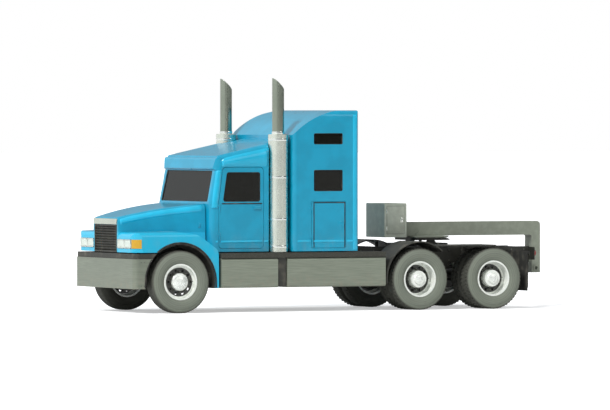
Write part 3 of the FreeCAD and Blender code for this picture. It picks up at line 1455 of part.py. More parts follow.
def main():
    os.makedirs("parts", exist_ok=True)
    member_low = rail_top - rail_depth + rail_web + seat_gap
    members = [crossmember(x, member_low) for x in crossmember_x]
    members.append(crossmember(shallow_member_x, gearbox_z + yoke_radius + 40.0))
    members.extend([tail_bar(), hood_hinge(-1), hood_hinge(1)])
    chassis = {
        "frame_rails": frame_rails(), "crossmembers": members, "engine_and_gearbox": powertrain(),
        "radiator": radiator(), "propshafts": propshafts(), "front_axle": front_axle(),
        "springs": front_springs() + rear_suspension(), "rear_axles": rear_axles(),
        "bumper": bumper(), "bumper_strip": [bumper_strip()] + arch_guards(),
        "cab_mounts": cab_mounts() + [cab_boot()], "cab_shell": cab_shell(), "sleeper_shell": sleeper_shell(),
        "fixed_glass": fixed_glass(), "visor": visor(), "dashboard": dashboard(),
        "steering_wheel": steering_wheel(), "seats": seats(), "bunk": bunk(),
        "stack_shields": stack_shields(), "stack_pipes": stack_pipes(), "exhaust_links": exhaust_links(),
        "fuel_tanks": fuel_tanks(), "step_boxes": step_boxes(), "side_treads": side_treads(),
        "rear_wings": rear_wings(), "mud_flaps": mud_flaps(), "tail_lamps": tail_lamps(),
        "fifth_wheel": [fifth_wheel_base(), fifth_wheel_plate()],
    }
    bonnet = {
        "hood_shell": hood_shell(), "arch_liners": arch_liners(),
        "grille": grille(), "grille_bar": grille_bar(),
        "headlamps": headlamps(), "turn_lamps": turn_lamps(),
    }
    for name, shapes in {**chassis, **bonnet}.items():
        save(name, shapes)
    save("neck_beam", neck_beam())
    save("neck_box", neck_box())
    save("tie_rod", tie_rod())
    for word, side in (("left", -1), ("right", 1)):
        save("door_" + word, door(side))
        save("door_glass_" + word, door_glass(side))
        save("locker_door_" + word, locker_door(side))
        save("knuckle_" + word, knuckle(side))
        save("front_tyre_" + word, tyre(front_axle_x, side * front_track / 2, side))
        save("front_rim_" + word, front_rim(side))
        for number, x in enumerate(tandem_x, start=1):
            save("drive_tyres_%d_%s" % (number, word), rear_tyres(x, side))
            save("drive_rims_%d_%s" % (number, word), rear_rims(x, side))


main()
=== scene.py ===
import json
from math import asin, atan2, copysign, cos, dist, pi, radians, sin

import bmesh
import bpy
from mathutils import Matrix, Vector
from mathutils.bvhtree import BVHTree


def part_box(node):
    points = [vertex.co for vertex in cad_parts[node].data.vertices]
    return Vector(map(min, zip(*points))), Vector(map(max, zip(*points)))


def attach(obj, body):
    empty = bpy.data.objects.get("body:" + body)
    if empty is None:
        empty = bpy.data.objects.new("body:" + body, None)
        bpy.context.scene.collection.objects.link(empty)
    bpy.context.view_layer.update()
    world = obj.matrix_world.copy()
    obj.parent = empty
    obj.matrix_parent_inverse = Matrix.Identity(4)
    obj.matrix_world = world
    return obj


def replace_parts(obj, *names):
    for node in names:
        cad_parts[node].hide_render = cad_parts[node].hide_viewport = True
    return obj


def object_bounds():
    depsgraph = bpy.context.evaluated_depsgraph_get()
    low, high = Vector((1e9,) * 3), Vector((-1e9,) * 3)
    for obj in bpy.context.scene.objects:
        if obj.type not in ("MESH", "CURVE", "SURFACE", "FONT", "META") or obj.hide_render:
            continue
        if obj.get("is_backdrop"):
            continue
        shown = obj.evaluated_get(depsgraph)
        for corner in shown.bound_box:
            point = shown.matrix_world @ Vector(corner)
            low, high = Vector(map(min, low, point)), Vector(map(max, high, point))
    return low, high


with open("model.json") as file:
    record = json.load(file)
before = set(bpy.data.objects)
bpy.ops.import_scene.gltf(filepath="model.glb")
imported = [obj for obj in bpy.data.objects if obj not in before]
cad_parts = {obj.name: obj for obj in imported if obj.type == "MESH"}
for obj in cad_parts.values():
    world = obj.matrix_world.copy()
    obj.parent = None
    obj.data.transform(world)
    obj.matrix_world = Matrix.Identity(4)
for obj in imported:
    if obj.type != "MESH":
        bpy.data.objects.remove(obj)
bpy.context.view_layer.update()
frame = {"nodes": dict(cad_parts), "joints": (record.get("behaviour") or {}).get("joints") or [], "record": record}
nodes = frame["nodes"]
joints = {j["name"]: j for j in frame["joints"]}
slot_of = {s["node"]: s["material_slot"] for s in frame["record"]["subparts"]}

# Driving sizes, in metres
SIDES = (("left", -1.0), ("right", 1.0))
ACROSS = Vector((0, 1, 0))
ALONG = Vector((1, 0, 0))
UP = Vector((0, 0, 1))
VIEW_TURN = radians(-26.0)
VIEW_LIFT = radians(0.8)
VIEW_AWAY = 110.0
METRES_PER_PIXEL = 0.01695
PICTURE_WIDE, PICTURE_HIGH = 610, 410
ZERO_PIXEL = (324.1, 309.0)
TYRE_HALF = 0.14
SPIN_STEPS = 96
FRONT_AXLE_X = joints["steer_left"]["pos_m"][0]
AXLE_Z = joints["steer_left"]["pos_m"][2]
DRIVE_X = [joints["drive_wheel_%d_left_spin" % n]["pos_m"][0] for n in (1, 2)]
FRONT_Y = joints["front_wheel_right_spin"]["pos_m"][1]
DRIVE_Y = joints["drive_wheel_1_right_spin"]["pos_m"][1]
DUAL_HALF = 0.173
AXLES = (("front_%s_", FRONT_AXLE_X), ("drive_%s_1_", DRIVE_X[0]), ("drive_%s_2_", DRIVE_X[1]))


# Finishes
def tint(red, green, blue):
    """A colour read from a screen, as the linear one that a shader takes."""
    levels = []
    for level in (red / 255.0, green / 255.0, blue / 255.0):
        levels.append(level / 12.92 if level <= 0.04045 else ((level + 0.055) / 1.055) ** 2.4)
    return (*levels, 1.0)


def sum_node(operation, flipped=False):
    """A method that works one sum out in a Math node; flipped, its own value comes second."""
    def work(self, other):
        first, second = (other, self) if flipped else (self, other)
        return self.finish.node("ShaderNodeMath", {"operation": operation}, {0: first, 1: second})
    return work


class Level:
    """A number that varies over a surface, which Python's sums can use."""

    def __init__(self, finish, socket):
        self.finish = finish
        self.socket = socket

    __add__, __radd__ = sum_node("ADD"), sum_node("ADD", True)
    __sub__, __rsub__ = sum_node("SUBTRACT"), sum_node("SUBTRACT", True)
    __mul__, __rmul__ = sum_node("MULTIPLY"), sum_node("MULTIPLY", True)
    power = sum_node("POWER")
    least = sum_node("MINIMUM")

    def ramp(self, start, end):
        """From 0 at start to 1 at end, smoothly."""
        return self.finish.node(
            "ShaderNodeMapRange", {"interpolation_type": "SMOOTHSTEP"}, {0: self, 1: start, 2: end})


class Finish:
    """One material: a Principled shader with plain sockets, and patterns on Object coordinates."""

    def __init__(self, name, color, roughness, **sockets):
        self.material = bpy.data.materials.new(name)
        self.material.use_nodes = True
        self.tree = self.material.node_tree
        self.shader = self.tree.nodes["Principled BSDF"]
        self.shader.inputs["Base Color"].default_value = color
        self.shader.inputs["Roughness"].default_value = roughness
        for socket, value in sockets.items():
            self.shader.inputs[socket.replace("_", " ").title().replace("Ior", "IOR")].default_value = value
        self.slot = name

    def put(self, target, value):
        if isinstance(value, Level):
            self.tree.links.new(value.socket, target)
        else:
            target.default_value = value

    def node(self, kind, settings, values, output=0):
        made = self.tree.nodes.new(kind)
        for setting, value in settings.items():
            setattr(made, setting, value)
        for place, value in values.items():
            self.put(made.inputs[place], value)
        return Level(self, made.outputs[output])

    def place(self, stretch):
        """Object coordinates, scaled."""
        here = self.node("ShaderNodeTexCoord", {}, {}, "Object")
        return self.node("ShaderNodeMapping", {}, {"Vector": here, "Scale": stretch})

    def axis(self, name):
        """One Object coordinate, in metres."""
        here = self.node("ShaderNodeTexCoord", {}, {}, "Object")
        return self.node("ShaderNodeSeparateXYZ", {}, {0: here}, name)

    def noise(self, scale, detail=3.0, stretch=(1.0, 1.0, 1.0)):
        return self.node(
            "ShaderNodeTexNoise", {}, {"Vector": self.place(stretch), "Scale": scale, "Detail": detail})

    def cells(self, scale, stretch=(1.0, 1.0, 1.0)):
        return self.node("ShaderNodeTexVoronoi", {}, {"Vector": self.place(stretch), "Scale": scale})

    def wave(self, level):
        return self.node("ShaderNodeMath", {"operation": "SINE"}, {0: level})

    def from_axle(self, centre_x):
        """How far a point lies from a wheel's axle."""
        across, high = self.axis("X") - centre_x, self.axis("Z") - AXLE_Z
        return (across * across + high * high).power(0.5)

    def mix(self, share, first, second):
        """A colour between two, by share."""
        return self.node("ShaderNodeMix", {"data_type": "RGBA"}, {0: share, 6: first, 7: second}, 2)

    def paint(self, color):
        self.put(self.shader.inputs["Base Color"], color)
        return self

    def rough(self, level):
        self.put(self.shader.inputs["Roughness"], level)
        return self

    def bump(self, height, depth, reach=0.01):
        self.put(self.shader.inputs["Normal"], self.node(
            "ShaderNodeBump", {}, {"Height": height, "Strength": depth, "Distance": reach}, "Normal"))
        return self

    def of_slot(self, slot):
        """The finish, with the slot that its pieces take."""
        self.slot = slot
        return self


def shade(color, share):
    """A colour made darker or lighter."""
    return (*[min(1.0, level * share) for level in color[:3]], 1.0)


BLUE = tint(8, 150, 184)
# A lighter copy of the body blue: painted light, used for the lit wings and the raised mouldings.
LIT_TONE_BLUE = tint(28, 176, 212)
DUST = tint(150, 144, 128)


def coach_paint(name, color, below=None):
    """Gloss paint over steel panels: faint orange peel, mottle, and road dust towards the ground. A colour given
    as below makes the panel under a level line lighter, as painted light on the lit wings.
    """
    made = Finish(name, color, 0.32, coat_weight=0.3, coat_roughness=0.1, specular_ior_level=0.35)
    mottle = made.noise(3.0, 4.0).ramp(0.35, 0.65)
    tone = made.mix(mottle, shade(color, 0.93), shade(color, 1.05))
    if below:
        # Painted light: under z 1.322 to 1.352 the paint turns to the lighter below colour, standing in for light
        # falling on the wings.
        tone = made.mix(made.axis("Z").ramp(1.322, 1.352), below, tone)
    low = 1.0 - made.axis("Z").ramp(0.35, 1.5)
    dust = low * made.noise(9.0, 6.0, (1.0, 1.0, 0.6)).ramp(0.42, 0.75) * 0.35
    made.paint(made.mix(dust, tone, DUST))
    made.rough(0.26 + dust * 0.6 + made.noise(5.0, 3.0) * 0.05)
    return made.bump(made.noise(900.0, 1.0), 0.012, 0.001)


def brushed_panel(name, color):
    """Satin grey metal with a fine level grain and dirt thrown up from the road."""
    made = Finish(name, color, 0.42, metallic=0.35, coat_weight=0.15)
    grain = made.noise(60.0, 3.0, (0.06, 0.06, 1.4))
    wide = made.noise(4.0, 3.0, (0.4, 0.4, 1.6)).ramp(0.3, 0.7)
    tone = made.mix(grain.ramp(0.3, 0.7), shade(color, 0.84), shade(color, 1.1))
    tone = made.mix(wide * 0.5, tone, shade(color, 0.9))
    low = (1.0 - made.axis("Z").ramp(0.36, 0.75)) * made.noise(14.0, 6.0).ramp(0.4, 0.72) * 0.5
    made.paint(made.mix(low, tone, DUST))
    made.rough(0.36 + grain * 0.16 + low * 0.3)
    return made.bump(grain, 0.1, 0.002)


def moulding(name, color, roughness=0.62):
    """Black moulded plastic or chassis paint with a fine pebble grain and dry dust in it."""
    made = Finish(name, color, roughness)
    dust = made.noise(7.0, 6.0).ramp(0.45, 0.8) * 0.25
    made.paint(made.mix(dust, color, DUST))
    made.rough(roughness + dust * 0.5)
    return made.bump(made.cells(420.0), 0.18, 0.001)


def plain_metal(name, color, roughness, metallic=0.0):
    """Painted or bare metal with slight mottle, hand marks in its gloss and light dust."""
    made = Finish(name, color, roughness, metallic=metallic)
    made.paint(made.mix(made.noise(11.0, 5.0).ramp(0.35, 0.7), shade(color, 0.9), shade(color, 1.05)))
    made.rough(roughness - 0.05 + made.noise(26.0, 5.0) * 0.14)
    return made.bump(made.noise(120.0, 3.0), 0.08, 0.002)


def chrome(name, color, roughness=0.1):
    """Bright plated tube, with heat haze and a faint smear in its gloss."""
    made = Finish(name, color, roughness, metallic=1.0)
    haze = made.noise(2.2, 4.0).ramp(0.4, 0.7)
    made.paint(made.mix(haze * 0.4, color, shade(color, 0.82)))
    made.rough(roughness + made.noise(30.0, 5.0, (1.0, 1.0, 0.3)) * 0.14)
    return made


def tyre_rubber(name, centre_x):
    """Rubber: dark tread and inner wall, and an outer wall grey with dry road dust in faint rings."""
    made = Finish(name, tint(58, 58, 48), 0.85)
    radius = made.from_axle(centre_x)
    side = made.axis("Y")
    out = (side * side).power(0.5).ramp(1.11, 1.16)
    wall = 1.0 - radius.ramp(0.485, 0.51)
    rings = made.wave(radius * 190.0) * 0.5 + 0.5
    streaks = made.noise(30.0, 4.0)
    share = out * wall * (0.62 + rings * 0.22 + streaks * 0.3)
    made.paint(made.mix(share.least(1.0), tint(74, 75, 67), tint(122, 128, 115)))
    made.rough(0.72 + streaks * 0.2)
    return made.bump(made.noise(240.0, 3.0) + rings * 0.4, 0.14, 0.002)


def rim_paint(name, centre_x):
    """A painted wheel: off-white outer rim, a dark dished disc and a bright hub. The disc's dark is partly its own
    paint and partly painted shade for the dish's recess.
    """
    made = Finish(name, tint(214, 219, 208), 0.32, coat_weight=0.4)
    radius = made.from_axle(centre_x)
    # Partly painted shade: the dished disc between the hub and the rim is painted dark, where the recess lies in
    # shade.
    dark = radius.ramp(0.146, 0.15) * (1.0 - radius.ramp(0.238, 0.243))
    grime = made.noise(16.0, 6.0).ramp(0.45, 0.8) * 0.22
    tone = made.mix(dark, tint(238, 241, 233), tint(44, 45, 39))
    made.paint(made.mix(grime, tone, tint(120, 118, 104)))
    made.rough(0.28 + grime * 0.5 + dark * 0.2)
    return made.bump(made.noise(180.0, 2.0), 0.06, 0.002)


def window_tint(name):
    """Dark tinted safety glass."""
    made = Finish(name, tint(24, 24, 20), 0.06, alpha=0.88, coat_weight=0.0, specular_ior_level=0.2)
    made.rough(0.03 + made.noise(9.0, 5.0).ramp(0.5, 0.8) * 0.05)
    return made


def cloth(name, color, weave=900.0):
    """Woven cloth: a fine over-and-under weave with soft sheen."""
    made = Finish(name, color, 0.9, sheen_weight=0.4)
    weft_over = made.wave(made.axis("X") * weave + made.axis("Z") * weave) * made.wave(made.axis("Y") * weave)
    made.paint(made.mix(weft_over * 0.5 + 0.5, shade(color, 0.78), shade(color, 1.12)))
    return made.bump(weft_over, 0.25, 0.001)


def lens(name, color, alpha, glow=0.0):
    """A moulded lamp lens with upright flutes, each darkened along one side by painted shade."""
    made = Finish(
        name, color, 0.08, alpha=alpha, coat_weight=0.5, emission_color=color, emission_strength=glow)
    flutes = made.wave(made.axis("Y") * 520.0)
    # Painted shade: the colour darkens along each flute, in step with its bump.
    made.paint(made.mix(flutes * 0.5 + 0.5, shade(color, 0.74), color))
    return made.bump(flutes, 0.3, 0.002)


def core_fins(name):
    """A radiator's core: upright tubes with fine fins between them, and painted shade in the gaps between the
    tubes.
    """
    color = tint(58, 60, 58)
    made = Finish(name, color, 0.5, metallic=0.5)
    tubes, fins = made.wave(made.axis("Y") * 420.0), made.wave(made.axis("Z") * 1100.0)
    # Painted shade: the colour drops to a third in the gaps between the tubes.
    made.paint(made.mix(tubes * 0.5 + 0.5, shade(color, 0.35), shade(color, 1.3)))
    return made.bump(tubes + fins * 0.5, 0.4, 0.002)


def tread_plate(name):
    """Black anti-slip plate with raised dashes."""
    color = tint(70, 70, 62)
    made = Finish(name, color, 0.6, metallic=0.2)
    bars = made.cells(48.0, (1.0, 2.6, 1.0)).ramp(0.18, 0.34)
    made.paint(made.mix(bars, shade(color, 1.35), shade(color, 0.8)))
    made.rough(0.45 + bars * 0.3)
    return made.bump(1.0 - bars, 0.5, 0.003)


FINISHES = {
    "body_blue": coach_paint("coach_blue", BLUE),
    "bumper_grey": brushed_panel("skirt_grey", tint(137, 144, 128)),
    "trim_black": moulding("trim_black", tint(50, 50, 44)),
    "rubber_black": moulding("flap_rubber", tint(38, 38, 34), 0.8),
    "frame_black": plain_metal("chassis_black", tint(44, 44, 38), 0.5),
    "engine_grey": plain_metal("engine_castings", tint(112, 116, 112), 0.45, 0.5),
    "radiator_black": core_fins("radiator_core"),
    "window_glass": window_tint("window_tint"),
    "dash_plastic": moulding("dash_plastic", tint(78, 79, 77), 0.55),
    "seat_fabric": cloth("seat_cloth", tint(92, 98, 108)),
    "bunk_fabric": cloth("bunk_cloth", tint(120, 124, 132), 600.0),
    "stack_chrome": chrome("stack_chrome", tint(206, 212, 198)),
    "lamp_clear": lens("lamp_clear", tint(236, 238, 230), 0.55),
    "lamp_amber": lens("lamp_amber", tint(206, 158, 14), 1.0, 0.05),
    "lamp_red": lens("lamp_red", tint(176, 26, 20), 1.0, 0.05),
    "coupling_steel": plain_metal("coupling_steel", tint(54, 54, 50), 0.38, 0.7),
    "neck_grey": plain_metal("neck_grey", tint(138, 144, 129), 0.45, 0.1),
    # Painted light: the box takes a lighter copy of the neck's grey, lifted to offset the shade it sits in.
    "box_grey": plain_metal("box_grey", tint(188, 194, 178), 0.5, 0.1),
}
for slot, finish in FINISHES.items():
    finish.of_slot(slot)
DRY_RUBBER = moulding("seal_rubber", tint(30, 30, 27), 0.7).of_slot("rubber_black")
BRIGHT = chrome("bright_trim", tint(240, 243, 236)).of_slot("stack_chrome")
HUB_WHITE = plain_metal("hub_white", tint(243, 246, 239), 0.25, 0.3).of_slot("rim_white")
ZINC = plain_metal("zinc_bolts", tint(104, 106, 98), 0.4, 0.8).of_slot("stack_chrome")
# The raised mouldings take a lighter copy of the body blue: a painted highlight along each band.
PAINTED_LIT_BLUE = coach_paint("coach_blue_pale", LIT_TONE_BLUE).of_slot("body_blue")
BODY = FINISHES["body_blue"]


def dress(node, finish):
    """Gives a CAD node its finish."""
    held = nodes[node].data.materials
    held.clear()
    held.append(finish.material)


for node, name in slot_of.items():
    if name in FINISHES:
        dress(node, FINISHES[name])
dress("side_treads", tread_plate("tread_plate"))
dress("stack_pipes", chrome("pipe_steel", tint(156, 163, 148)))
dress("stack_shields", chrome("shield_steel", tint(226, 231, 218), 0.2))
dress("bumper", brushed_panel("bumper_steel", tint(125, 132, 117)))
# The hood's wings below the level line take the lighter blue: painted light.
dress("hood_shell", coach_paint("coach_blue_hood", BLUE, LIT_TONE_BLUE))
for number, (label, axle_x) in enumerate(AXLES):
    RIM = rim_paint("rim_paint_%d" % number, axle_x)
    for word, _ in SIDES:
        dress(label % ("rims" if number else "rim") + word, RIM)


# Making pieces
def into_scene(name, data):
    made = bpy.data.objects.new(name, data)
    bpy.context.scene.collection.objects.link(made)
    return made


def mesh_of(name, shape):
    """A bmesh with its faces turned outwards, as a mesh."""
    bmesh.ops.recalc_face_normals(shape, faces=shape.faces)
    mesh = bpy.data.meshes.new(name)
    shape.to_mesh(mesh)
    shape.free()
    return mesh


def piece(name, shape, finish, body="chassis", smooth=40.0):
    """A bmesh made into a piece that moves with a body."""
    mesh = mesh_of(name, shape)
    mesh.materials.append(finish.material)
    mesh.shade_smooth()
    mesh.set_sharp_from_angle(angle=radians(smooth))
    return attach(into_scene(name, mesh), body)


def block(shape, low, high, width=0.003, steps=2):
    """A block with softened edges between two corners."""
    low, high = Vector(map(min, low, high)), Vector(map(max, low, high))
    size = high - low
    made = bmesh.ops.create_cube(shape, size=1.0)["verts"]
    bmesh.ops.scale(shape, vec=size, verts=made)
    bmesh.ops.translate(shape, vec=(low + high) / 2, verts=made)
    if width:
        bmesh.ops.bevel(
            shape, geom=list({e for v in made for e in v.link_edges}), offset=min(width, min(size) * 0.45),
            segments=steps, profile=0.5, affect="EDGES", material=-1, clamp_overlap=True)


def pad(shape, centre, half, width=0.003, steps=2):
    """A block with softened edges, from its centre and half its size."""
    centre, half = Vector(centre), Vector(half)
    block(shape, centre - half, centre + half, width, steps)


def rod(shape, start, end, radius, steps=16, top=None):
    """A round bar, or a cone, between two points."""
    run = Vector(end) - Vector(start)
    turn = run.to_track_quat("Z", "Y").to_matrix().to_4x4()
    middle = Matrix.Translation((Vector(start) + Vector(end)) / 2)
    bmesh.ops.create_cone(
        shape, cap_ends=True, segments=steps, radius1=radius, radius2=radius if top is None else top,
        depth=run.length, matrix=middle @ turn)


def barrel(shape, base, way, *rows):
    """Bars and cones along a way from a base, each as (start, end, radius, steps, top)."""
    for start, end, *form in rows:
        rod(shape, base + way * start, base + way * end, *form)


def turned(shape, profile, centre, axis=ACROSS, side=1.0, steps=SPIN_STEPS, closed=True):
    """A shape turned about an axis, from (along, radius) points."""
    radial = ALONG if axis is UP else UP
    ring = [shape.verts.new(axis * side * out + radial * radius) for out, radius in profile]
    edges = [shape.edges.new(pair) for pair in zip(ring, ring[1:] + ring[:1] * closed)]
    bmesh.ops.spin(
        shape, geom=ring + edges, cent=(0, 0, 0), axis=axis, angle=2 * pi, steps=steps, use_merge=True)
    bmesh.ops.translate(shape, vec=centre, verts=shape.verts)


def round_curve(name, kind, count, radius, fine):
    """A curve with a round section, its spline, and the points to place before it joins the scene."""
    curve = bpy.data.curves.new(name, "CURVE")
    curve.dimensions = "3D"
    curve.bevel_depth = radius
    curve.bevel_resolution = fine
    spline = curve.splines.new(kind)
    held = spline.points if kind == "POLY" else spline.bezier_points
    held.add(count - 1)
    return curve, spline, held


def curve_piece(name, curve, finish, body):
    """A curve whose points are placed, made into a piece."""
    made = into_scene(name, curve)
    curve.materials.append(finish.material)
    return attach(made, body)


def line_piece(name, points, radius, finish, body, closed=True):
    """A round bead that follows points."""
    curve, spline, held = round_curve(name, "POLY", len(points), radius, 2)
    for point, place in zip(held, points):
        point.co = (*place, 1.0)
    spline.use_cyclic_u = closed
    return curve_piece(name, curve, finish, body)


def template(name, *rows):
    """A small round mesh to copy, built once about the origin with its face towards Z."""
    shape = bmesh.new()
    barrel(shape, Vector(), UP, *rows)
    return mesh_of(name, shape)


def scatter(shape, small, places):
    """Copies of a small mesh into a shape, one for each placing matrix."""
    for place in places:
        small.transform(place)
        shape.from_mesh(small)
        small.transform(place.inverted())


def facing(place, way):
    """The placing of a template at a point, with its Z along a way."""
    return Matrix.Translation(place) @ Vector(way).to_track_quat("Z", "Y").to_matrix().to_4x4()


BOLT = template("bolt", (0, 0.003, 0.0155, 12), (0.003, 0.012, 0.0115, 6, 0.0108))
RIVET = template("rivet", (-0.001, 0.002, 0.0085, 10), (0.002, 0.0042, 0.008, 10, 0.0035))


# Tyres
LUG_EDGE = 0.0025
TYRE_SKIN = [
    (0.098, 0.2885), (0.103, 0.292), (0.104, 0.303), (0.113, 0.31), (0.121, 0.322), (0.1225, 0.33),
    (0.1285, 0.34), (0.134, 0.362), (0.1355, 0.366), (0.1355, 0.371), (0.1385, 0.39), (TYRE_HALF, 0.408),
    (0.1393, 0.428), (0.1398, 0.431), (0.1398, 0.437), (0.1382, 0.44), (0.1345, 0.465), (0.129, 0.484),
    (0.125, 0.495), (0.118, 0.506)]


def tyre_shape(crown, count, half, place, lean, axis):
    """A tyre about the origin from half its (out, radius) skin, with lugs copied round both shoulders."""
    skin = TYRE_SKIN + crown
    shape = bmesh.new()
    turned(shape, skin + [(-out, radius) for out, radius in reversed(skin)], (0, 0, 0))
    for row in (1, -1):
        lug = bmesh.new()
        pad(lug, (0, 0, 0), half, LUG_EDGE, 1)
        bmesh.ops.rotate(lug, cent=(0, 0, 0), matrix=Matrix.Rotation(lean * row, 3, axis), verts=lug.verts)
        at = Matrix.Translation((place[0], row * place[1], place[2]))
        scatter(shape, mesh_of("lug", lug), [
            Matrix.Rotation(2 * pi * (i + 0.25 * row) / count, 4, "Y") @ at for i in range(count)])
    return mesh_of("tyre", shape)


STEER_TYRE = tyre_shape([
    (0.11, 0.517), (0.1, 0.5195), (0.078, 0.5198), (0.076, 0.507), (0.066, 0.507), (0.064, 0.5198),
    (0.032, 0.5198), (0.03, 0.507), (0.02, 0.507), (0.018, 0.5198)],
    64, (0.015, 0.006, 0.01), (0.0, 0.117, 0.5), 0.5, "X")
DRIVE_TYRE = tyre_shape(
    [(0.108, 0.507), (0.03, 0.508), (0.03, 0.5195), (0.006, 0.5195), (0.006, 0.508)],
    52, (0.018, 0.039, 0.012), (0.0, 0.074, 0.5075), 0.28, "Z")
for number, (label, axle_x) in enumerate(AXLES):
    RUBBER = tyre_rubber("tyre_rubber_%d" % number, axle_x)
    centres = (DRIVE_Y - DUAL_HALF, DRIVE_Y + DUAL_HALF) if number else (FRONT_Y,)
    for word, side in SIDES:
        node = label % ("tyres" if number else "tyre") + word
        shape = bmesh.new()
        scatter(shape, DRIVE_TYRE if number else STEER_TYRE, [
            Matrix.Translation((axle_x, side * out, AXLE_Z)) for out in centres])
        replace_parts(piece(node + "_tread", shape, RUBBER, label % "wheel" + word), node)


# Wheel hubs and nuts
HUB_COVER_RADIUS = 0.146
NUT_CIRCLE = 0.1675
NUT_COUNT = 10
DISC_SET = 0.052


NUT = template(
    "wheel_nut", (0, 0.012, 0.0175), (0.012, 0.034, 0.015, 6, 0.014), (0.034, 0.048, 0.01, 12, 0.0085))


def wheel_trim(name, body, axle_x, side, disc_y, tip_y):
    """The bright hub cover, the nuts with their studs, and the valve."""
    shape = bmesh.new()
    deep = tip_y - disc_y
    profile = [
        (0.001, HUB_COVER_RADIUS), (deep * 0.45, HUB_COVER_RADIUS), (deep * 0.62, HUB_COVER_RADIUS - 0.006),
        (deep * 0.74, HUB_COVER_RADIUS - 0.022), (deep * 0.78, 0.1), (deep * 0.86, 0.092),
        (deep * 0.95, 0.062), (deep * 0.99, 0.03), (deep, 0.0)]
    turned(shape, profile, (axle_x, side * disc_y, AXLE_Z), ACROSS, side, 48, False)
    bmesh.ops.remove_doubles(shape, verts=shape.verts, dist=0.0002)
    piece(name + "_hub_cover", shape, HUB_WHITE, body)
    shape = bmesh.new()
    out = ACROSS * side
    places = []
    for i in range(NUT_COUNT):
        turn = 2 * pi * (i + 0.5) / NUT_COUNT
        places.append(facing((
            axle_x + NUT_CIRCLE * cos(turn), side * disc_y, AXLE_Z + NUT_CIRCLE * sin(turn)), out))
    scatter(shape, NUT, places)
    valve = Vector((axle_x + 0.222, side * (disc_y + 0.002), AXLE_Z + 0.01))
    barrel(shape, valve, out, (0, 0.045, 0.005, 8), (0.04, 0.058, 0.0065, 8))
    piece(name + "_nuts", shape, ZINC, body)


for number, (label, axle_x) in enumerate(AXLES):
    for word, side in SIDES:
        disc_y, tip_y = FRONT_Y + DISC_SET, FRONT_Y + 0.128
        if number:
            disc_y, tip_y = DRIVE_Y + DUAL_HALF - DISC_SET, DRIVE_Y + DUAL_HALF + 0.104
        wheel_trim(label.replace("%s_", "") + word, label % "wheel" + word, axle_x, side, disc_y, tip_y)


# Surfaces to seat pieces on
FAR_OUT = 3.0


def caster(node):
    """Level rays at a CAD node's side: each gives where it lands and the surface's normal."""
    mesh = nodes[node].data
    tree = BVHTree.FromPolygons([v.co for v in mesh.vertices], [p.vertices for p in mesh.polygons])

    def hit(side, x, z):
        place, normal, _, _ = tree.ray_cast(Vector((x, side * FAR_OUT, z)), Vector((0, -side, 0)))
        return place, normal
    return hit


def spaced(first, last, count):
    """Evenly spaced values, ends included."""
    return [first + (last - first) * i / (count - 1) for i in range(count)]


def side_bead(name, node, side, path, body):
    """A rubber bead that lies on a node's side along (x, z) points."""
    hit = caster(node)
    points = [hit(side, x, z)[0] - ACROSS * side * LIP * 0.15 for x, z in path]
    line_piece(name, points, LIP, DRY_RUBBER, body, False)


LIP = 0.014
BAND_ROWS = 9
BAND_END = 0.022


def part_way(station, other, share):
    """The pair of edge points at a share of the way from one station to another."""
    return [tuple(a + (b - a) * share for a, b in zip(*points)) for points in zip(station, other)]


def near_end(end, other):
    """The edge points a little way in from a band's end."""
    return part_way(end, other, min(0.5, BAND_END / dist(end[0], other[0])))


def raised_band(name, node, side, stations, thick, finish=PAINTED_LIT_BLUE, body="chassis", sink=0.004):
    """A raised moulding that follows a node's side between pairs of (x, z) edge points."""
    hit = caster(node)
    shape = bmesh.new()
    rings = []
    full = [(near_end(*stations[:2]), 1.0), *((pair, 1.0) for pair in stations[1:-1])]
    full.append((near_end(*stations[:-3:-1]), 1.0))
    for (first, last), share_up in [(stations[0], 0.0), *full, (stations[-1], 0.0)]:
        outer, inner = [], []
        for row in range(BAND_ROWS):
            share = row / (BAND_ROWS - 1)
            x, z = (a + (b - a) * share for a, b in zip(first, last))
            place, normal = hit(side, x, z)
            rise = thick * share_up * (1.0 - abs(2.0 * share - 1.0) ** 3.0)
            outer.append(shape.verts.new(place + normal * rise))
            inner.append(shape.verts.new(place - normal * sink))
        rings.append(outer + inner[::-1])
    for near, far in zip(rings, rings[1:]):
        for i, j in zip(range(len(near)), [*range(1, len(near)), 0]):
            shape.faces.new((near[i], near[j], far[j], far[i]))
    for ring in (rings[0], rings[-1]):
        shape.faces.new(ring)
    piece(name, shape, finish, body, 30.0)


def between(stations, count):
    """Stations filled in evenly between the given ones."""
    filled = []
    for near, far in zip(stations, stations[1:]):
        filled.extend(part_way(near, far, i / count) for i in range(count))
    return [*filled, stations[-1]]


def islands(node):
    """The separate solids of a CAD node, as lists of points."""
    shape = bmesh.new()
    shape.from_mesh(nodes[node].data)
    bmesh.ops.remove_doubles(shape, verts=shape.verts, dist=0.00005)
    left, found = set(shape.verts), []
    while left:
        group, edge = set(), [left.pop()]
        while edge:
            vert = edge.pop()
            if vert not in group:
                group.add(vert)
                edge.extend(link.other_vert(vert) for link in vert.link_edges)
        left -= group
        found.append([v.co.copy() for v in group])
    shape.free()
    return sorted(found, key=lambda points: tuple(round(c, 3) for c in sum(points, Vector()) / len(points)))


def rim_of(points, way):
    """The outer face's edge of a pane, in order round its middle."""
    middle = sum(points, Vector()) / len(points)
    face = [p for p in points if (p - middle).dot(way) > 0.0]
    middle = sum(face, Vector()) / len(face)
    first = way.orthogonal().normalized()
    second = way.cross(first)
    return sorted(face, key=lambda p: atan2((p - middle).dot(second), (p - middle).dot(first)))


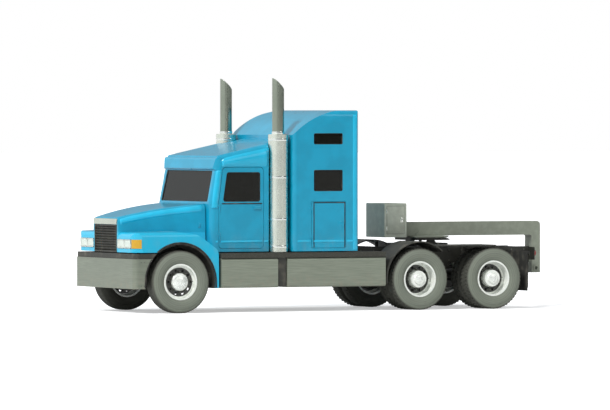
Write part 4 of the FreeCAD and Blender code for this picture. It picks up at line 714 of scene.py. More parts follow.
# Window seals
for word, side in SIDES:
    for pane in islands("door_glass_" + word):
        line_piece("door_seal_" + word, rim_of(pane, ACROSS * side), 0.011, DRY_RUBBER, "door_" + word)
for number, pane in enumerate(islands("fixed_glass")):
    middle = sum(pane, Vector()) / len(pane)
    facing_way = Vector((-0.98, 0, 0.2))
    if middle.x > FRONT_AXLE_X + 1.8:
        facing_way = ACROSS * copysign(1.0, middle.y)
    line_piece("pane_seal_%d" % number, rim_of(pane, facing_way), 0.012, DRY_RUBBER, "chassis")


# Body mouldings
CREASE_LOW, CREASE_HIGH, CREASE_RISE = 1.158, 1.196, 0.01
CAB_LOW, CAB_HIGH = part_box("cab_shell")
SLEEPER_LOW, SLEEPER_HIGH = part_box("sleeper_shell")
SLEEPER_BODY_X = FRONT_AXLE_X + 2.066
EDGE = 0.018
for word, side in SIDES:
    door_low, door_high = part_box("door_" + word)
    locker_low, locker_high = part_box("locker_door_" + word)
    for label, node, rider, first, last in (
            ("cab_front", "cab_shell", "chassis", CAB_LOW.x + 0.1, door_low.x - EDGE),
            ("door", "door_" + word, "door_" + word, door_low.x + 0.034, door_high.x - EDGE),
            ("cab_back", "cab_shell", "chassis", door_high.x + EDGE, CAB_HIGH.x - EDGE),
            ("sleeper_front", "sleeper_shell", "chassis", SLEEPER_BODY_X + 0.08, locker_low.x - EDGE),
            ("locker", "locker_door_" + word, "locker_" + word, locker_low.x + 0.034, locker_high.x - EDGE),
            ("sleeper_back", "sleeper_shell", "chassis", locker_high.x + EDGE, SLEEPER_HIGH.x - 0.08)):
        raised_band("crease_%s_%s" % (label, word), node, side, [
            ((x, CREASE_LOW), (x, CREASE_HIGH)) for x in spaced(first, last, 4)],
            CREASE_RISE, PAINTED_LIT_BLUE, rider)


# Mouldings over the door, on the windscreen pillar and down the sleeper's rear edge
OVER_DOOR = [
    ((-2.405, 2.428), (-2.405, 2.56)), ((-2.2, 2.43), (-2.2, 2.61)),
    ((-1.9, 2.432), (-1.9, 2.672)), ((-1.57, 2.434), (-1.57, 2.738))]
PILLAR = [
    ((-2.594, 1.74), (-2.484, 1.74)), ((-2.588, 1.82), (-2.482, 1.82)),
    ((-2.552, 2.06), (-2.446, 2.05)), ((-2.5, 2.365), (-2.412, 2.365))]
REAR_TRIM_X = SLEEPER_HIGH.x - 0.115
REAR_TRIM = [
    ((REAR_TRIM_X, SLEEPER_LOW.z + 0.02), (REAR_TRIM_X + 0.085, SLEEPER_LOW.z + 0.02)),
    ((REAR_TRIM_X, SLEEPER_HIGH.z - 0.07), (REAR_TRIM_X + 0.085, SLEEPER_HIGH.z - 0.07))]
for word, side in SIDES:
    raised_band("over_door_" + word, "cab_shell", side, between(OVER_DOOR, 5), 0.02)
    raised_band("pillar_band_" + word, "cab_shell", side, between(PILLAR, 5), 0.016)
    raised_band("sleeper_trim_" + word, "sleeper_shell", side, between(REAR_TRIM, 12), 0.008)


# Rubber lips round the front wheel arches
ARCH = 0.648
BUMPER_LOW, BUMPER_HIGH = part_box("bumper")
LIP_FOOT = BUMPER_LOW.z + 0.012


def arch_path(first, last, count):
    """Points along the arch's edge between two angles; below the axle it drops straight down."""
    points = []
    for turn in spaced(first, last, count):
        x, z = ARCH * cos(turn), AXLE_Z + ARCH * sin(turn)
        points.append((FRONT_AXLE_X + (copysign(ARCH, x) if z < AXLE_Z else x), max(z, LIP_FOOT)))
    return points


BUMPER_TOP_TURN = pi - asin((BUMPER_HIGH.z - 0.01 - AXLE_Z) / ARCH)
WING_TOP_TURN = pi - asin((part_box("bumper_strip")[1].z + 0.02 - AXLE_Z) / ARCH)
FOOT_TURN = asin((AXLE_Z - LIP_FOOT) / ARCH)
for word, side in SIDES:
    side_bead("wing_lip_" + word, "hood_shell", side, arch_path(WING_TOP_TURN, -FOOT_TURN, 40), "hood")
    side_bead(
        "bumper_lip_" + word, "bumper", side, arch_path(pi + FOOT_TURN, BUMPER_TOP_TURN, 16), "chassis")


# Skirts and bumper: rows of rivets and bolts
def rivet_rows(name, node, side, xs, zs, finish, small=RIVET):
    """Fastenings at stations and heights along a node's side."""
    hit = caster(node)
    shape = bmesh.new()
    places = []
    for z in zs:
        for x in xs:
            place, normal = hit(side, x, z)
            if place:
                places.append(facing(place, normal))
    scatter(shape, small, places)
    piece(name, shape, finish)


PANEL_EDGE = 0.05
for word, side in SIDES:
    for label, node in (("step", "step_boxes"), ("tank", "fuel_tanks")):
        low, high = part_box(node)
        rivet_rows(
            "%s_rivets_%s" % (label, word), node, side,
            spaced(low.x + PANEL_EDGE, high.x - PANEL_EDGE, 7 if label == "step" else 13),
            (low.z + 0.052, high.z - 0.052), FINISHES["bumper_grey"])
    rivet_rows("bumper_bolts_" + word, "bumper", side, (-3.955, -3.9), (0.46, 0.85), ZINC)


# Stacks: clamp bands round the silencers, a collar and a rolled tip
STACK_LOW, STACK_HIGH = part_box("stack_shields")
PIPE_LOW, PIPE_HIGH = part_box("stack_pipes")
STACK_X = (PIPE_LOW.x + PIPE_HIGH.x) / 2
PIPE_RADIUS = (PIPE_HIGH.x - PIPE_LOW.x) / 2
STACK_Y = PIPE_HIGH.y - PIPE_RADIUS
SHIELD_RADIUS = STACK_HIGH.x - STACK_X
BAND_LEVELS = (STACK_LOW.z + 0.1, 1.55, 2.25, STACK_HIGH.z - 0.09)


def ring_on_stack(shape, z, high, radius, proud):
    """A band round a stack with rounded edges, from its section."""
    turned(shape, [
        (z - high / 2, radius), (z - high / 2, radius + proud * 0.7), (z - high * 0.3, radius + proud),
        (z + high * 0.3, radius + proud), (z + high / 2, radius + proud * 0.7), (z + high / 2, radius)],
        (0, 0, 0), UP, steps=64)


for word, side in SIDES:
    shape = bmesh.new()
    for z in BAND_LEVELS:
        ring_on_stack(shape, z, 0.036, SHIELD_RADIUS - 0.001, 0.005)
    ring_on_stack(shape, STACK_HIGH.z + 0.02, 0.05, PIPE_RADIUS, 0.007)
    bmesh.ops.translate(shape, vec=(STACK_X, side * STACK_Y, 0), verts=shape.verts)
    for z in BAND_LEVELS:
        pad(shape, (STACK_X + SHIELD_RADIUS + 0.005, side * (STACK_Y - 0.03), z), (0.011, 0.012, 0.014))
    piece("stack_bands_" + word, shape, BRIGHT)
    lip = []
    for turn in spaced(0.0, 2 * pi, 49)[:-1]:
        x, y = PIPE_RADIUS * cos(turn), PIPE_RADIUS * sin(turn)
        lip.append((STACK_X + x * 0.97, side * STACK_Y + y * 0.97, PIPE_HIGH.z - (x + PIPE_RADIUS) - 0.004))
    line_piece("stack_tip_" + word, lip, 0.0035, BRIGHT, "chassis")


# Headlamps: a bright bezel with two fluted lenses
LAMP_LOW, LAMP_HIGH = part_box("headlamps")
LAMP_IN = 0.48
LENS_GLASS = lens("headlamp_glass", tint(216, 226, 215), 1.0).of_slot("lamp_clear")
LAMP_RIM = 0.014


def lens_block(shape, low, high, swell):
    """A rectangular lens whose face swells out from its rim."""
    before = set(shape.verts)
    block(shape, low, high, 0.006, 3)
    fresh = [v for v in shape.verts if v not in before]
    middle = (Vector(low) + Vector(high)) / 2
    half_y, half_z = abs(high[1] - low[1]) / 2, abs(high[2] - low[2]) / 2
    faces = [f for f in {f for v in fresh for f in v.link_faces} if f.normal.x < -0.9]
    bmesh.ops.subdivide_edges(
        shape, edges=list({e for f in faces for e in f.edges}), cuts=7, use_grid_fill=True)
    for vert in shape.verts:
        if vert not in before and vert.co.x < low[0] + 0.0005:
            across = 1 - ((vert.co.y - middle.y) / half_y) ** 2
            high_share = 1 - ((vert.co.z - middle.z) / half_z) ** 2
            vert.co.x -= swell * max(0.0, across) ** 0.5 * max(0.0, high_share) ** 0.5


for word, side in SIDES:
    shape = bmesh.new()
    x0 = LAMP_LOW.x - 0.004
    outer = LAMP_HIGH.y
    middle = (LAMP_IN + outer) / 2
    for first, last in ((LAMP_IN + 0.004, middle), (middle, outer - 0.004)):
        low_z, high_z = LAMP_LOW.z + 0.004, LAMP_HIGH.z - 0.004
        for y0, y1, z0, z1 in (
                (first, last, low_z, low_z + LAMP_RIM), (first, last, high_z - LAMP_RIM, high_z),
                (first, first + LAMP_RIM, low_z, high_z), (last - LAMP_RIM, last, low_z, high_z)):
            block(shape, (x0 - 0.006, side * y0, z0), (x0 + 0.012, side * y1, z1), 0.003)
    piece("lamp_bezel_" + word, shape, BRIGHT, "hood")
    shape = bmesh.new()
    for first, last in ((LAMP_IN + 0.004, middle), (middle, outer - 0.004)):
        lens_block(
            shape, (x0, side * (first + LAMP_RIM), LAMP_LOW.z + 0.004 + LAMP_RIM),
            (x0 + 0.01, side * (last - LAMP_RIM), LAMP_HIGH.z - 0.004 - LAMP_RIM), 0.007)
    piece("lamp_lens_" + word, shape, LENS_GLASS, "hood")


# Hood shoulder moulding
SHOULDER = [
    ((-4.02, 1.47), (-4.02, 1.56)), ((-3.9, 1.5), (-3.9, 1.595)),
    ((-3.8, 1.522), (-3.8, 1.62)), ((-3.5, 1.58), (-3.5, 1.68)),
    ((-3.2, 1.626), (-3.2, 1.726)), ((-2.9, 1.662), (-2.9, 1.764)),
    ((-2.69, 1.688), (-2.69, 1.79))]
for word, side in SIDES:
    raised_band("hood_moulding_" + word, "hood_shell", side, between(SHOULDER, 4), 0.014, PAINTED_LIT_BLUE, "hood")


# Padded pieces
PAD_CELL = 0.014
PAD_PRESSURE = 4.0
PAD_STEPS = 20
PAD_CAP = 0.024
PAD_INSET = 0.006


def swell(made, cap):
    """Blows a closed cushion up as cloth, and lets no point move farther than the cap."""
    before = [v.co.copy() for v in made.data.vertices]
    cloth_on = made.modifiers.new("puff", "CLOTH")
    settings = cloth_on.settings
    settings.use_pressure = True
    settings.uniform_pressure_force = PAD_PRESSURE
    settings.effector_weights.gravity = 0.0
    settings.quality = 5
    scene = bpy.context.scene
    for frame_number in range(1, PAD_STEPS + 1):
        scene.frame_set(frame_number)
    graph = bpy.context.evaluated_depsgraph_get()
    swollen = made.evaluated_get(graph).to_mesh()
    for vert, start, end in zip(made.data.vertices, before, [v.co.copy() for v in swollen.vertices]):
        move = end - start
        vert.co = start + (move.normalized() * cap if move.length > cap else move)
    made.evaluated_get(graph).to_mesh_clear()
    made.modifiers.remove(cloth_on)
    scene.frame_set(1)


def remeshed(made, cell):
    """Even cells all over a closed piece."""
    grid = made.modifiers.new("even", "REMESH")
    grid.mode = "VOXEL"
    grid.voxel_size = cell
    graph = bpy.context.evaluated_depsgraph_get()
    mesh = bpy.data.meshes.new_from_object(made.evaluated_get(graph))
    made.modifiers.remove(grid)
    made.data = mesh


def cushion(name, low, high, corner, finish, cap, cell=PAD_CELL, lean=None):
    """A stuffed block: rounded, evenly meshed and blown up."""
    inset = Vector((PAD_INSET,) * 3)
    shape = bmesh.new()
    block(shape, Vector(low) + inset, Vector(high) - inset, corner, 4)
    if lean:
        bmesh.ops.rotate(shape, cent=lean[0], matrix=Matrix.Rotation(lean[1], 3, "Y"), verts=shape.verts)
    made = piece(name, shape, finish)
    remeshed(made, cell)
    made.data.materials.clear()
    made.data.materials.append(finish.material)
    swell(made, cap)
    round_off = made.modifiers.new("round", "SUBSURF")
    round_off.levels = 1
    round_off.render_levels = 1
    made.data.shade_smooth()
    return made


# Cab seats: cushion, back that leans with a roll on each edge, head rest, and the stand
SEAT_Y = 0.52
LEAN = ((-1.84, 0, 1.46), radians(7.2))
SEAT_PARTS = (
    ("seat_base_%s", (-2.245, -0.25, 1.372), (-1.8, 0.25, 1.5), 0.045, PAD_CAP, None),
    ("seat_back_%s", (-1.88, -0.2, 1.5), (-1.79, 0.2, 2.125), 0.036, 0.022, LEAN),
    ("head_rest_%s", (-1.78, -0.125, 2.14), (-1.702, 0.125, 2.292), 0.028, 0.014, None),
    ("seat_roll_%s_0", (-1.905, -0.25, 1.5), (-1.79, -0.188, 2.08), 0.026, 0.01, LEAN),
    ("seat_roll_%s_1", (-1.905, 0.188, 1.5), (-1.79, 0.25, 2.08), 0.026, 0.01, LEAN))
for word, side in SIDES:
    middle = side * SEAT_Y
    for part, low, high, corner, cap, lean in SEAT_PARTS:
        low, high = Vector(low) + ACROSS * middle, Vector(high) + ACROSS * middle
        made = cushion(part % word, low, high, corner, FINISHES["seat_fabric"], cap, lean=lean)
        if part == "seat_base_%s":
            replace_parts(made, "seats")
    shape = bmesh.new()
    pad(shape, (-2.02, middle, 1.366), (0.17, 0.21, 0.014), 0.006)
    pad(shape, (-2.0, middle, 1.243), (0.14, 0.14, 0.113), 0.02)
    pad(shape, (-2.0, middle, 1.1175), (0.15, 0.15, 0.0165), 0.008)
    for level in spaced(1.165, 1.325, 6):
        pad(shape, (-2.0, middle, level), (0.148, 0.148, 0.008), 0.006)
    pad(shape, (-1.8255, middle, 1.48), (0.0105, 0.2, 0.08), 0.004)
    for out in (-0.07, 0.07):
        rod(shape, (-1.77, middle + out, 2.06), (-1.742, middle + out, 2.17), 0.006)
    piece("seat_stand_" + word, shape, FINISHES["frame_black"])


# Mattress on its board
BUNK_LOW, BUNK_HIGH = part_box("bunk")
BUNK_Z = BUNK_HIGH.z - 0.13
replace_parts(cushion(
    "mattress", (BUNK_LOW.x + 0.01, -1.135, BUNK_Z + 0.012), (BUNK_HIGH.x - 0.03, 1.135, BUNK_HIGH.z),
    0.04, FINISHES["bunk_fabric"], 0.016, 0.02), "bunk")
shape = bmesh.new()
x0, x1, z0 = BUNK_LOW.x, BUNK_HIGH.x, BUNK_LOW.z
block(shape, (x0 + 0.002, -1.15, BUNK_Z - 0.014), (x1 - 0.002, 1.15, BUNK_Z + 0.012), 0.004)
block(shape, (x0 + 0.02, -1.15, z0 + 0.001), (x0 + 0.044, 1.15, BUNK_Z - 0.01))
for y in spaced(-0.76, 0.76, 3):
    block(shape, (x0 + 0.014, y - 0.32, z0 + 0.1), (x0 + 0.021, y + 0.32, BUNK_Z - 0.1))
    rod(shape, (x0 + 0.012, y, BUNK_Z - 0.14), (x0 + 0.021, y, BUNK_Z - 0.14), 0.018, 20)
piece("bunk_board", shape, FINISHES["dash_plastic"])


# Tail lamps: rubber grommet and a swollen lens over each
for number, disc in enumerate(islands("tail_lamps")):
    middle = sum(disc, Vector()) / len(disc)
    radius = max((p - middle).yz.length for p in disc)
    middle.x = max(p.x for p in disc) - 0.001
    shape = bmesh.new()
    turned(shape, [
        (0.0, radius - 0.009), (0.006, radius - 0.01), (0.009, radius - 0.006), (0.006, radius + 0.001)],
        middle, ALONG, steps=40)
    piece("tail_grommet_%d" % number, shape, DRY_RUBBER)
    shape = bmesh.new()
    barrel(
        shape, middle, ALONG, (0, 0.005, 0.04, 40, 0.039), (0.005, 0.01, 0.039, 40, 0.03),
        (0.01, 0.0125, 0.03, 40, 0.012))
    piece("tail_lens_%d" % number, shape, FINISHES["lamp_red"])


# Mud flaps: clamp plate with bolts, and moulded ribs
for word, side in SIDES:
    flap_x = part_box("mud_flaps")[1].x
    shape = bmesh.new()
    block(shape, (flap_x, side * 0.6, 0.9), (flap_x + 0.008, side * 1.18, 0.96), 0.002)
    scatter(shape, BOLT, [
        facing((flap_x + 0.008, side * y, 0.93), ALONG) for y in spaced(0.64, 1.14, 5)])
    piece("flap_clamp_" + word, shape, ZINC)
    shape = bmesh.new()
    for y in spaced(0.66, 1.12, 7):
        pad(shape, (flap_x + 0.002, side * y, 0.61), (0.003, 0.008, 0.26), 0.002)
    piece("flap_ribs_" + word, shape, FINISHES["rubber_black"])


# Frame: rows of bolts along the rails
for word, side in SIDES:
    rivet_rows(
        "rail_bolts_" + word, "frame_rails", side, spaced(-3.84, 3.6, 32), (0.815, 0.99), ZINC,
        BOLT)


# Springs: U-bolts with their nuts
for number, pack in enumerate(islands("springs")):
    low = Vector([min(p[i] for p in pack) for i in range(3)])
    high = Vector([max(p[i] for p in pack) for i in range(3)])
    centre = (low + high) / 2
    shape = bmesh.new()
    for out in (-0.052, 0.052):
        for y in (low.y - 0.01, high.y + 0.01):
            foot = Vector((centre.x + out, y, low.z))
            barrel(shape, foot, UP, (-0.02, 0.13, 0.008, 12), (-0.004, 0.012, 0.014, 6))
    piece("u_bolts_%d" % number, shape, ZINC)


# Fifth wheel: release handle and saddle bolts
shape = bmesh.new()
handle_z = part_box("fifth_wheel")[1].z - 0.034
rod(shape, (1.98, -0.4, handle_z), (1.98, -0.54, handle_z), 0.009, 14)
rod(shape, (1.98, -0.534, handle_z), (2.06, -0.534, handle_z), 0.009, 14)
piece("release_handle", shape, ZINC)
shape = bmesh.new()
scatter(shape, BOLT, [
    facing((x, side * 0.442, 1.075), ACROSS * side)
    for _, side in SIDES for x in (1.57, 1.7, 1.96, 2.09)])
piece("saddle_bolts", shape, ZINC)


# Towing neck: a service door on each side of the box, with hinges and latch
NECK_BOX_LOW, NECK_BOX_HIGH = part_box("neck_box")
for word, side in SIDES:
    face_y = side * NECK_BOX_HIGH.y
    x0, x1 = NECK_BOX_LOW.x + 0.045, NECK_BOX_HIGH.x - 0.045
    z0, z1 = NECK_BOX_LOW.z + 0.06, NECK_BOX_HIGH.z - 0.05
    shape = bmesh.new()
    block(shape, (x0, face_y - side * 0.002, z0), (x1, face_y + side * 0.006, z1), 0.004)
    piece("box_door_" + word, shape, FINISHES["box_grey"], "neck")
    seam = [(x0, z0), (x1, z0), (x1, z1), (x0, z1)]
    line_piece(
        "box_seal_" + word, [(x, face_y + side * 0.001, z) for x, z in seam], 0.004, DRY_RUBBER, "neck")
    shape = bmesh.new()
    for z in (z0 + 0.09, z1 - 0.09):
        hinge = Vector((x0 - 0.006, face_y + side * 0.006, z))
        rod(shape, hinge - UP * 0.035, hinge + UP * 0.035, 0.007)
    latch = Vector((x1 - 0.05, face_y + side * 0.006, (z0 + z1) / 2))
    pad(shape, latch, (0.022, 0.002, 0.038), 0.001)
    rod(shape, latch, latch + ACROSS * side * 0.012, 0.012, 20)
    pad(shape, latch + ACROSS * side * 0.014, (0.006, 0.004, 0.03), 0.002)
    piece("box_latch_" + word, shape, BRIGHT, "neck")


# Dashboard: gauges and vents
GAUGE_FACE = plain_metal("gauge_face", tint(24, 25, 26), 0.5).of_slot("dash_plastic")
shape = bmesh.new()
dials = bmesh.new()
faces = bmesh.new()
dash_x = -2.35
for y, z, radius in (
        (-0.6, 1.655, 0.052), (-0.44, 1.655, 0.052), (-0.7, 1.6, 0.028), (-0.52, 1.59, 0.028),
        (-0.34, 1.6, 0.028)):
    rod(dials, (dash_x - 0.02, y, z), (dash_x + 0.016, y, z), radius, 32)
    rod(faces, (dash_x, y, z), (dash_x + 0.0175, y, z), radius * 0.86, 32)
    for turn in spaced(radians(-130), radians(130), 9):
        tick_y, tick_z = y + sin(turn) * radius * 0.74, z + cos(turn) * radius * 0.74
        pad(dials, (dash_x + 0.0179, tick_y, tick_z), (0.0005, 0.0016, 0.0016), 0)
piece("gauge_rims", dials, BRIGHT)
piece("gauge_faces", faces, GAUGE_FACE)
for y in (-0.1, 0.16, 0.42, 0.68):
    pad(shape, (dash_x, y, 1.65), (0.01, 0.085, 0.04), 0.008)
    for z in spaced(1.626, 1.674, 5):
        pad(shape, (dash_x + 0.01, y, z), (0.006, 0.074, 0.003), 0.001)
piece("dash_vents", shape, GAUGE_FACE)


# Sleeper back: swaged panel and rows of rivets
BACK_X = SLEEPER_HIGH.x
shape = bmesh.new()
for z in spaced(SLEEPER_LOW.z + 0.42, SLEEPER_HIGH.z - 0.42, 5):
    pad(shape, (BACK_X + 0.002, 0, z), (0.005, 0.98, 0.03), 0.006, 3)
piece("back_swages", shape, BODY)
shape = bmesh.new()
places = []
for y in (-1.07, 1.07):
    places.extend((y, z) for z in spaced(SLEEPER_LOW.z + 0.1, SLEEPER_HIGH.z - 0.16, 30))
for z in (SLEEPER_LOW.z + 0.1, SLEEPER_HIGH.z - 0.16):
    places.extend((y, z) for y in spaced(-0.99, 0.99, 26))
scatter(shape, RIVET, [facing((BACK_X, y, z), ALONG) for y, z in places])
piece("back_rivets", shape, BODY)


# Doors: belt moulding, handle, inner card with armrest and pull; locker latch and seal
LOCKER_EDGE = 0.006
LOCKER_SEAL = 0.016
for word, side in SIDES:
    door_low, door_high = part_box("door_" + word)
    rider = "door_" + word
    raised_band(
        "belt_" + word, rider, side,
        [((x, 1.802), (x, 1.822)) for x in spaced(door_low.x + 0.05, door_high.x - 0.02, 4)],
        0.007, DRY_RUBBER, rider)
    shape = bmesh.new()
    block(shape, (-1.842, side * 1.048, 1.716), (-1.7, side * 1.0685, 1.764), 0.006, 3)
    rod(shape, (-1.68, side * 1.048, 1.7), (-1.68, side * 1.056, 1.7), 0.011, 20)
    piece("door_handle_" + word, shape, BODY, rider)
    shape = bmesh.new()
    inner = side * 1.005
    block(shape, (door_low.x + 0.05, inner, 1.1), (door_high.x - 0.05, inner - side * 0.01, 1.79), 0.005)
    block(shape, (-2.2, inner, 1.5), (-1.78, inner - side * 0.055, 1.545), 0.016, 3)
    block(shape, (-2.38, inner, 1.14), (-1.76, inner - side * 0.045, 1.26), 0.014, 3)
    piece("door_card_" + word, shape, FINISHES["dash_plastic"], rider)
    shape = bmesh.new()
    rod(shape, (-2.02, inner - side * 0.04, 1.64), (-1.8, inner - side * 0.04, 1.64), 0.011, 14)
    for x in (-2.02, -1.8):
        rod(shape, (x, inner - side * 0.006, 1.64), (x, inner - side * 0.046, 1.64), 0.012, 14)
    piece("door_pull_" + word, shape, BRIGHT, rider)
    shape = bmesh.new()
    latch, _ = caster("locker_door_" + word)(side, -0.272, 1.47)
    pad(shape, latch, (0.03, 0.0016, 0.045), 0.001)
    rod(shape, latch, latch + ACROSS * side * 0.0028, 0.02, 24)
    pad(shape, latch + ACROSS * side * 0.00295, (0.006, 0.00095, 0.026), 0.001)
    piece("locker_latch_" + word, shape, BODY, "locker_" + word)
    shape = bmesh.new()
    low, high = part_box("locker_door_" + word)
    x0, x1 = low.x + 0.036, high.x - LOCKER_EDGE
    z0, z1 = low.z + LOCKER_EDGE, high.z - LOCKER_EDGE
    y0, y1 = latch.y - side * 0.002, latch.y + side * 0.0035
    block(shape, (x0, y0, z0), (x0 + LOCKER_SEAL, y1, z1), 0.002)
    block(shape, (x1 - LOCKER_SEAL, y0, z0), (x1, y1, z1), 0.002)
    block(shape, (x0, y0, z1 - LOCKER_SEAL), (x1, y1, z1), 0.002)
    piece("locker_seal_" + word, shape, DRY_RUBBER, "locker_" + word)


# Hood latches
for word, side in SIDES:
    shape = bmesh.new()
    place, _ = caster("hood_shell")(side, -2.74, 1.45)
    for reach, high, deep in ((0.024, 0.04, 0.008), (0.012, 0.026, 0.014)):
        block(
            shape, place + Vector((-reach, -0.002 * side, -high)), place + Vector((reach, side * deep, high)),
            0.003)
    piece("hood_latch_" + word, shape, BODY, "hood")


# Engine dressing
IRON = plain_metal("hot_iron", tint(92, 78, 66), 0.7, 0.4).of_slot("engine_grey")
ENGINE_TOP = 1.44
ENGINE_SIDE = 0.34
ENGINE_FRONT = -3.68
CYLINDERS = spaced(-3.52, -2.84, 6)
shape = bmesh.new()
pad(shape, (-3.19, 0, ENGINE_TOP + 0.015), (0.43, 0.165, 0.019), 0.012, 3)
for x in CYLINDERS:
    pad(shape, (x, 0, ENGINE_TOP + 0.038), (0.04, 0.15, 0.008), 0.008, 3)
    pad(shape, (x, ENGINE_SIDE + 0.028, 1.2), (0.03, 0.032, 0.04), 0.012, 3)
block(shape, (-3.56, ENGINE_SIDE + 0.05, 1.14), (-2.8, ENGINE_SIDE + 0.105, 1.26), 0.018, 3)
for z in spaced(0.72, 1.02, 5):
    for _, side in SIDES:
        pad(shape, (-3.19, side * (ENGINE_SIDE + 0.003), z), (0.41, 0.007, 0.008), 0.004)
piece("engine_castings", shape, FINISHES["engine_grey"])
shape = bmesh.new()
scatter(shape, BOLT, [
    facing((x + 0.056, side * 0.15, ENGINE_TOP + 0.033), UP) for x in CYLINDERS for _, side in SIDES])
rod(shape, (-3.58, 0.06, ENGINE_TOP + 0.03), (-3.58, 0.06, ENGINE_TOP + 0.056), 0.03, 24)
for x in (-3.2, -3.06):
    barrel(shape, Vector((x, 0.4, 0.74)), UP, (0, 0.19, 0.05, 28), (0.19, 0.215, 0.054, 28))
piece("engine_fittings", shape, ZINC)
shape = bmesh.new()
for x in CYLINDERS:
    rod(shape, (x, -ENGINE_SIDE + 0.01, 1.27), (x, -0.41, 1.2), 0.024, 18)
rod(shape, (-3.54, -0.412, 1.19), (-2.82, -0.412, 1.19), 0.032, 24)
turbo = Vector((-3.1, -0.428, 1.325))
barrel(
    shape, turbo, ALONG, (-0.085, -0.03, 0.052, 32, 0.066), (-0.03, 0.03, 0.066, 32), (0.03, 0.06, 0.034, 24),
    (0.06, 0.12, 0.056, 32))
barrel(shape, turbo, UP, (-0.02, -0.135, 0.028, 20))
piece("manifold_turbo", shape, IRON)
shape = bmesh.new()
FAN_X, FAN_Z, FAN_RADIUS = -3.755, 1.255, 0.2
rod(shape, (FAN_X - 0.02, 0, FAN_Z), (ENGINE_FRONT + 0.002, 0, FAN_Z), 0.045, 28)
blade = bmesh.new()
block(blade, (-0.004, -0.036, 0.035), (0.004, 0.036, FAN_RADIUS - 0.006))
bmesh.ops.rotate(blade, cent=(0, 0, 0), matrix=Matrix.Rotation(radians(24), 3, "Z"), verts=blade.verts)
scatter(shape, mesh_of("blade", blade), [
    Matrix.Translation((FAN_X, 0, FAN_Z)) @ Matrix.Rotation(2 * pi * i / 9, 4, "X") for i in range(9)])
piece("engine_fan", shape, FINISHES["rubber_black"])
shape = bmesh.new()
turned(
    shape, [(-0.082, 0.215), (0.02, 0.215), (0.02, 0.209), (-0.082, 0.209)], (FAN_X, 0, FAN_Z), ALONG,
    steps=64)
piece("fan_shroud", shape, FINISHES["trim_black"])
shape = bmesh.new()
for y, z, radius in ((0.0, 0.93, 0.085), (-0.17, 1.05, 0.045), (0.0, FAN_Z, 0.06), (0.17, 1.06, 0.05)):
    barrel(
        shape, Vector((ENGINE_FRONT - 0.026, y, z)), ALONG, (0, 0.008, radius, 36),
        (0.008, 0.016, radius - 0.006, 36), (0.016, 0.024, radius, 36))
piece("pulleys", shape, ZINC)
belt = []
for y, z, radius, start, end in (
        (0.0, 0.93, 0.087, 205, 335), (0.17, 1.06, 0.052, -25, 50), (0.0, FAN_Z, 0.062, 50, 130),
        (-0.17, 1.05, 0.047, 130, 205)):
    for turn in spaced(radians(start), radians(end), 9):
        belt.append((ENGINE_FRONT - 0.014, y + radius * cos(turn), z + radius * sin(turn)))
line_piece("fan_belt", belt, 0.005, DRY_RUBBER, "chassis")


def hose(name, points, radius):
    """A hose that curves smoothly through its points."""
    curve, _, held = round_curve(name, "BEZIER", len(points), radius, 4)
    for point, place in zip(held, points):
        point.co = place
        point.handle_left_type = point.handle_right_type = "AUTO"
    curve.use_fill_caps = True
    curve_piece(name, curve, DRY_RUBBER, "chassis")


HOSE = 0.026
hose("top_hose", [(-3.842, 0.24, 1.43), (-3.78, 0.25, 1.45), (-3.66, 0.2, 1.455), (-3.585, 0.13, 1.45)], HOSE)
hose("lower_hose", [
    (-3.842, -0.26, 1.08), (-3.76, -0.27, 1.05), (-3.69, -0.25, 0.96), (-3.672, -0.18, 0.9)], HOSE)
hose("charge_pipe", [
    (-3.19, -0.428, 1.325), (-3.38, -0.43, 1.335), (-3.62, -0.42, 1.33), (-3.842, -0.36, 1.36)], 0.034)


# Brake chambers on the drive axles
shape = bmesh.new()
for axle_x in DRIVE_X:
    for _, side in SIDES:
        barrel(
            shape, Vector((axle_x, side * 0.512, 0.6)), ALONG, (0.115, 0.15, 0.04, 32, 0.066),
            (0.15, 0.2, 0.066, 32), (0.2, 0.208, 0.069, 32), (0.208, 0.27, 0.066, 32),
            (0.27, 0.295, 0.066, 32, 0.04), (0.03, 0.125, 0.01, 12))
        block(shape, (axle_x + 0.01, side * 0.5, 0.52), (axle_x + 0.045, side * 0.524, 0.625), 0.005)
piece("brake_chambers", shape, FINISHES["frame_black"])


# Floor mat and pedals
shape = bmesh.new()
block(shape, (-2.54, -0.985, 1.1005), (-1.56, 0.985, 1.108), 0.003)
for x in spaced(-2.5, -1.6, 31):
    block(shape, (x - 0.006, -0.96, 1.1075), (x + 0.006, 0.96, 1.1105), 0.001)
piece("floor_mat", shape, DRY_RUBBER)
shape = bmesh.new()
for y, z, wide in ((-0.64, 1.225, 0.03), (-0.53, 1.225, 0.034), (-0.4, 1.2, 0.024)):
    block(shape, (-2.462, y - wide, z - 0.042), (-2.452, y + wide, z + 0.042), 0.003)
    rod(shape, (-2.456, y, z), (-2.5, y, z + 0.16), 0.007, 10)
piece("pedals", shape, FINISHES["trim_black"])


# Floor, light and camera
def look_from(turn, lift):
    """The way from the object to the camera."""
    return Vector((sin(turn) * cos(lift), -cos(turn) * cos(lift), sin(lift)))


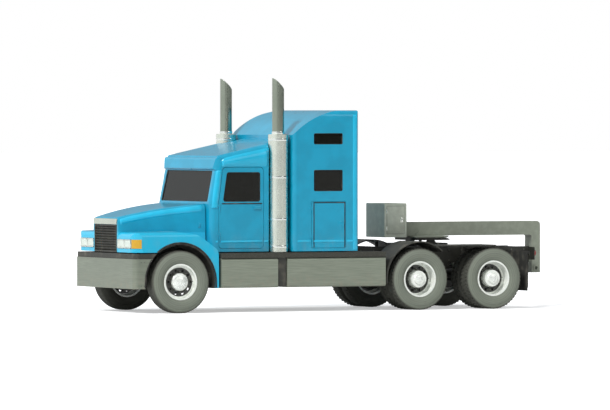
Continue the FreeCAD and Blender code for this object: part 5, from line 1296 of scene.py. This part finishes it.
# The floor is pale, and lifted to white only where the camera sees it
WHITE = (1.0, 1.0, 1.0, 1.0)
FLOOR = Finish("studio_floor", (0.86, 0.86, 0.86, 1.0), 0.9, specular_ior_level=0.0, emission_color=WHITE)
seen = FLOOR.node("ShaderNodeLightPath", {}, {}, "Is Camera Ray")
FLOOR.put(FLOOR.shader.inputs["Emission Strength"], seen * 0.42)
shape = bmesh.new()
bmesh.ops.create_grid(shape, x_segments=1, y_segments=1, size=400.0)
floor = into_scene("floor", mesh_of("floor", shape))
floor.data.materials.append(FLOOR.material)
floor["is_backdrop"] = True


class Surround(Finish):
    """The light from all round, with the same sums as a material."""

    def __init__(self, world):
        self.tree = world.node_tree

    def toward(self, way):
        """How far a direction agrees with a way, from -1 to 1."""
        here = self.node("ShaderNodeTexCoord", {}, {}, "Generated")
        return self.node("ShaderNodeVectorMath", {"operation": "DOT_PRODUCT"}, {0: here, 1: way}, "Value")


def glow(surround, color, strength):
    return surround.node("ShaderNodeBackground", {}, {"Color": color, "Strength": strength})


world = bpy.data.worlds.new("studio")
bpy.context.scene.world = world
world.use_nodes = True
studio = Surround(world)
overhead = studio.toward((0.0, 0.0, 1.0)).ramp(-0.15, 0.85)
left_box = studio.toward((-0.89, 0.44, 0.1)).ramp(0.1, 0.7)
dark_side = studio.toward((0.9, -0.44, 0.0)).ramp(0.15, 0.8)
light = 0.3 + overhead * 0.26 + left_box * 0.6 - dark_side * 0.25
seen = studio.node("ShaderNodeLightPath", {}, {}, "Is Camera Ray")
blend = studio.node("ShaderNodeMixShader", {}, {
    0: seen, 1: glow(studio, (0.94, 0.97, 1.0, 1.0), light), 2: glow(studio, WHITE, 1.0)})
studio.put(studio.tree.nodes["World Output"].inputs["Surface"], blend)


def lamp(name, turn, lift, strength, spread):
    """A soft sun from a compass turn and a height."""
    data = bpy.data.lights.new(name, "SUN")
    data.energy = strength
    data.angle = radians(spread)
    way = look_from(radians(turn), radians(lift))
    into_scene(name, data).rotation_euler = way.to_track_quat("Z", "Y").to_euler()


lamp("key", -62.0, 46.0, 2.3, 10.0)
lamp("fill", 30.0, 24.0, 0.35, 30.0)

camera_data = bpy.data.cameras.new("camera")
camera = into_scene("camera", camera_data)
away = look_from(VIEW_TURN, VIEW_LIFT)
right = Vector((cos(VIEW_TURN), sin(VIEW_TURN), 0.0))
aim = right * (PICTURE_WIDE / 2 - ZERO_PIXEL[0]) * METRES_PER_PIXEL
aim += UP * (ZERO_PIXEL[1] - PICTURE_HIGH / 2) * METRES_PER_PIXEL
camera.location = aim + away * VIEW_AWAY
camera.rotation_euler = away.to_track_quat("Z", "Y").to_euler()
camera_data.sensor_width = 36.0
camera_data.lens = camera_data.sensor_width * VIEW_AWAY / (PICTURE_WIDE * METRES_PER_PIXEL)
camera_data.clip_end = 1000.0
bpy.context.scene.camera = camera
bpy.context.scene.view_settings.view_transform = "Standard"

low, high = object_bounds()
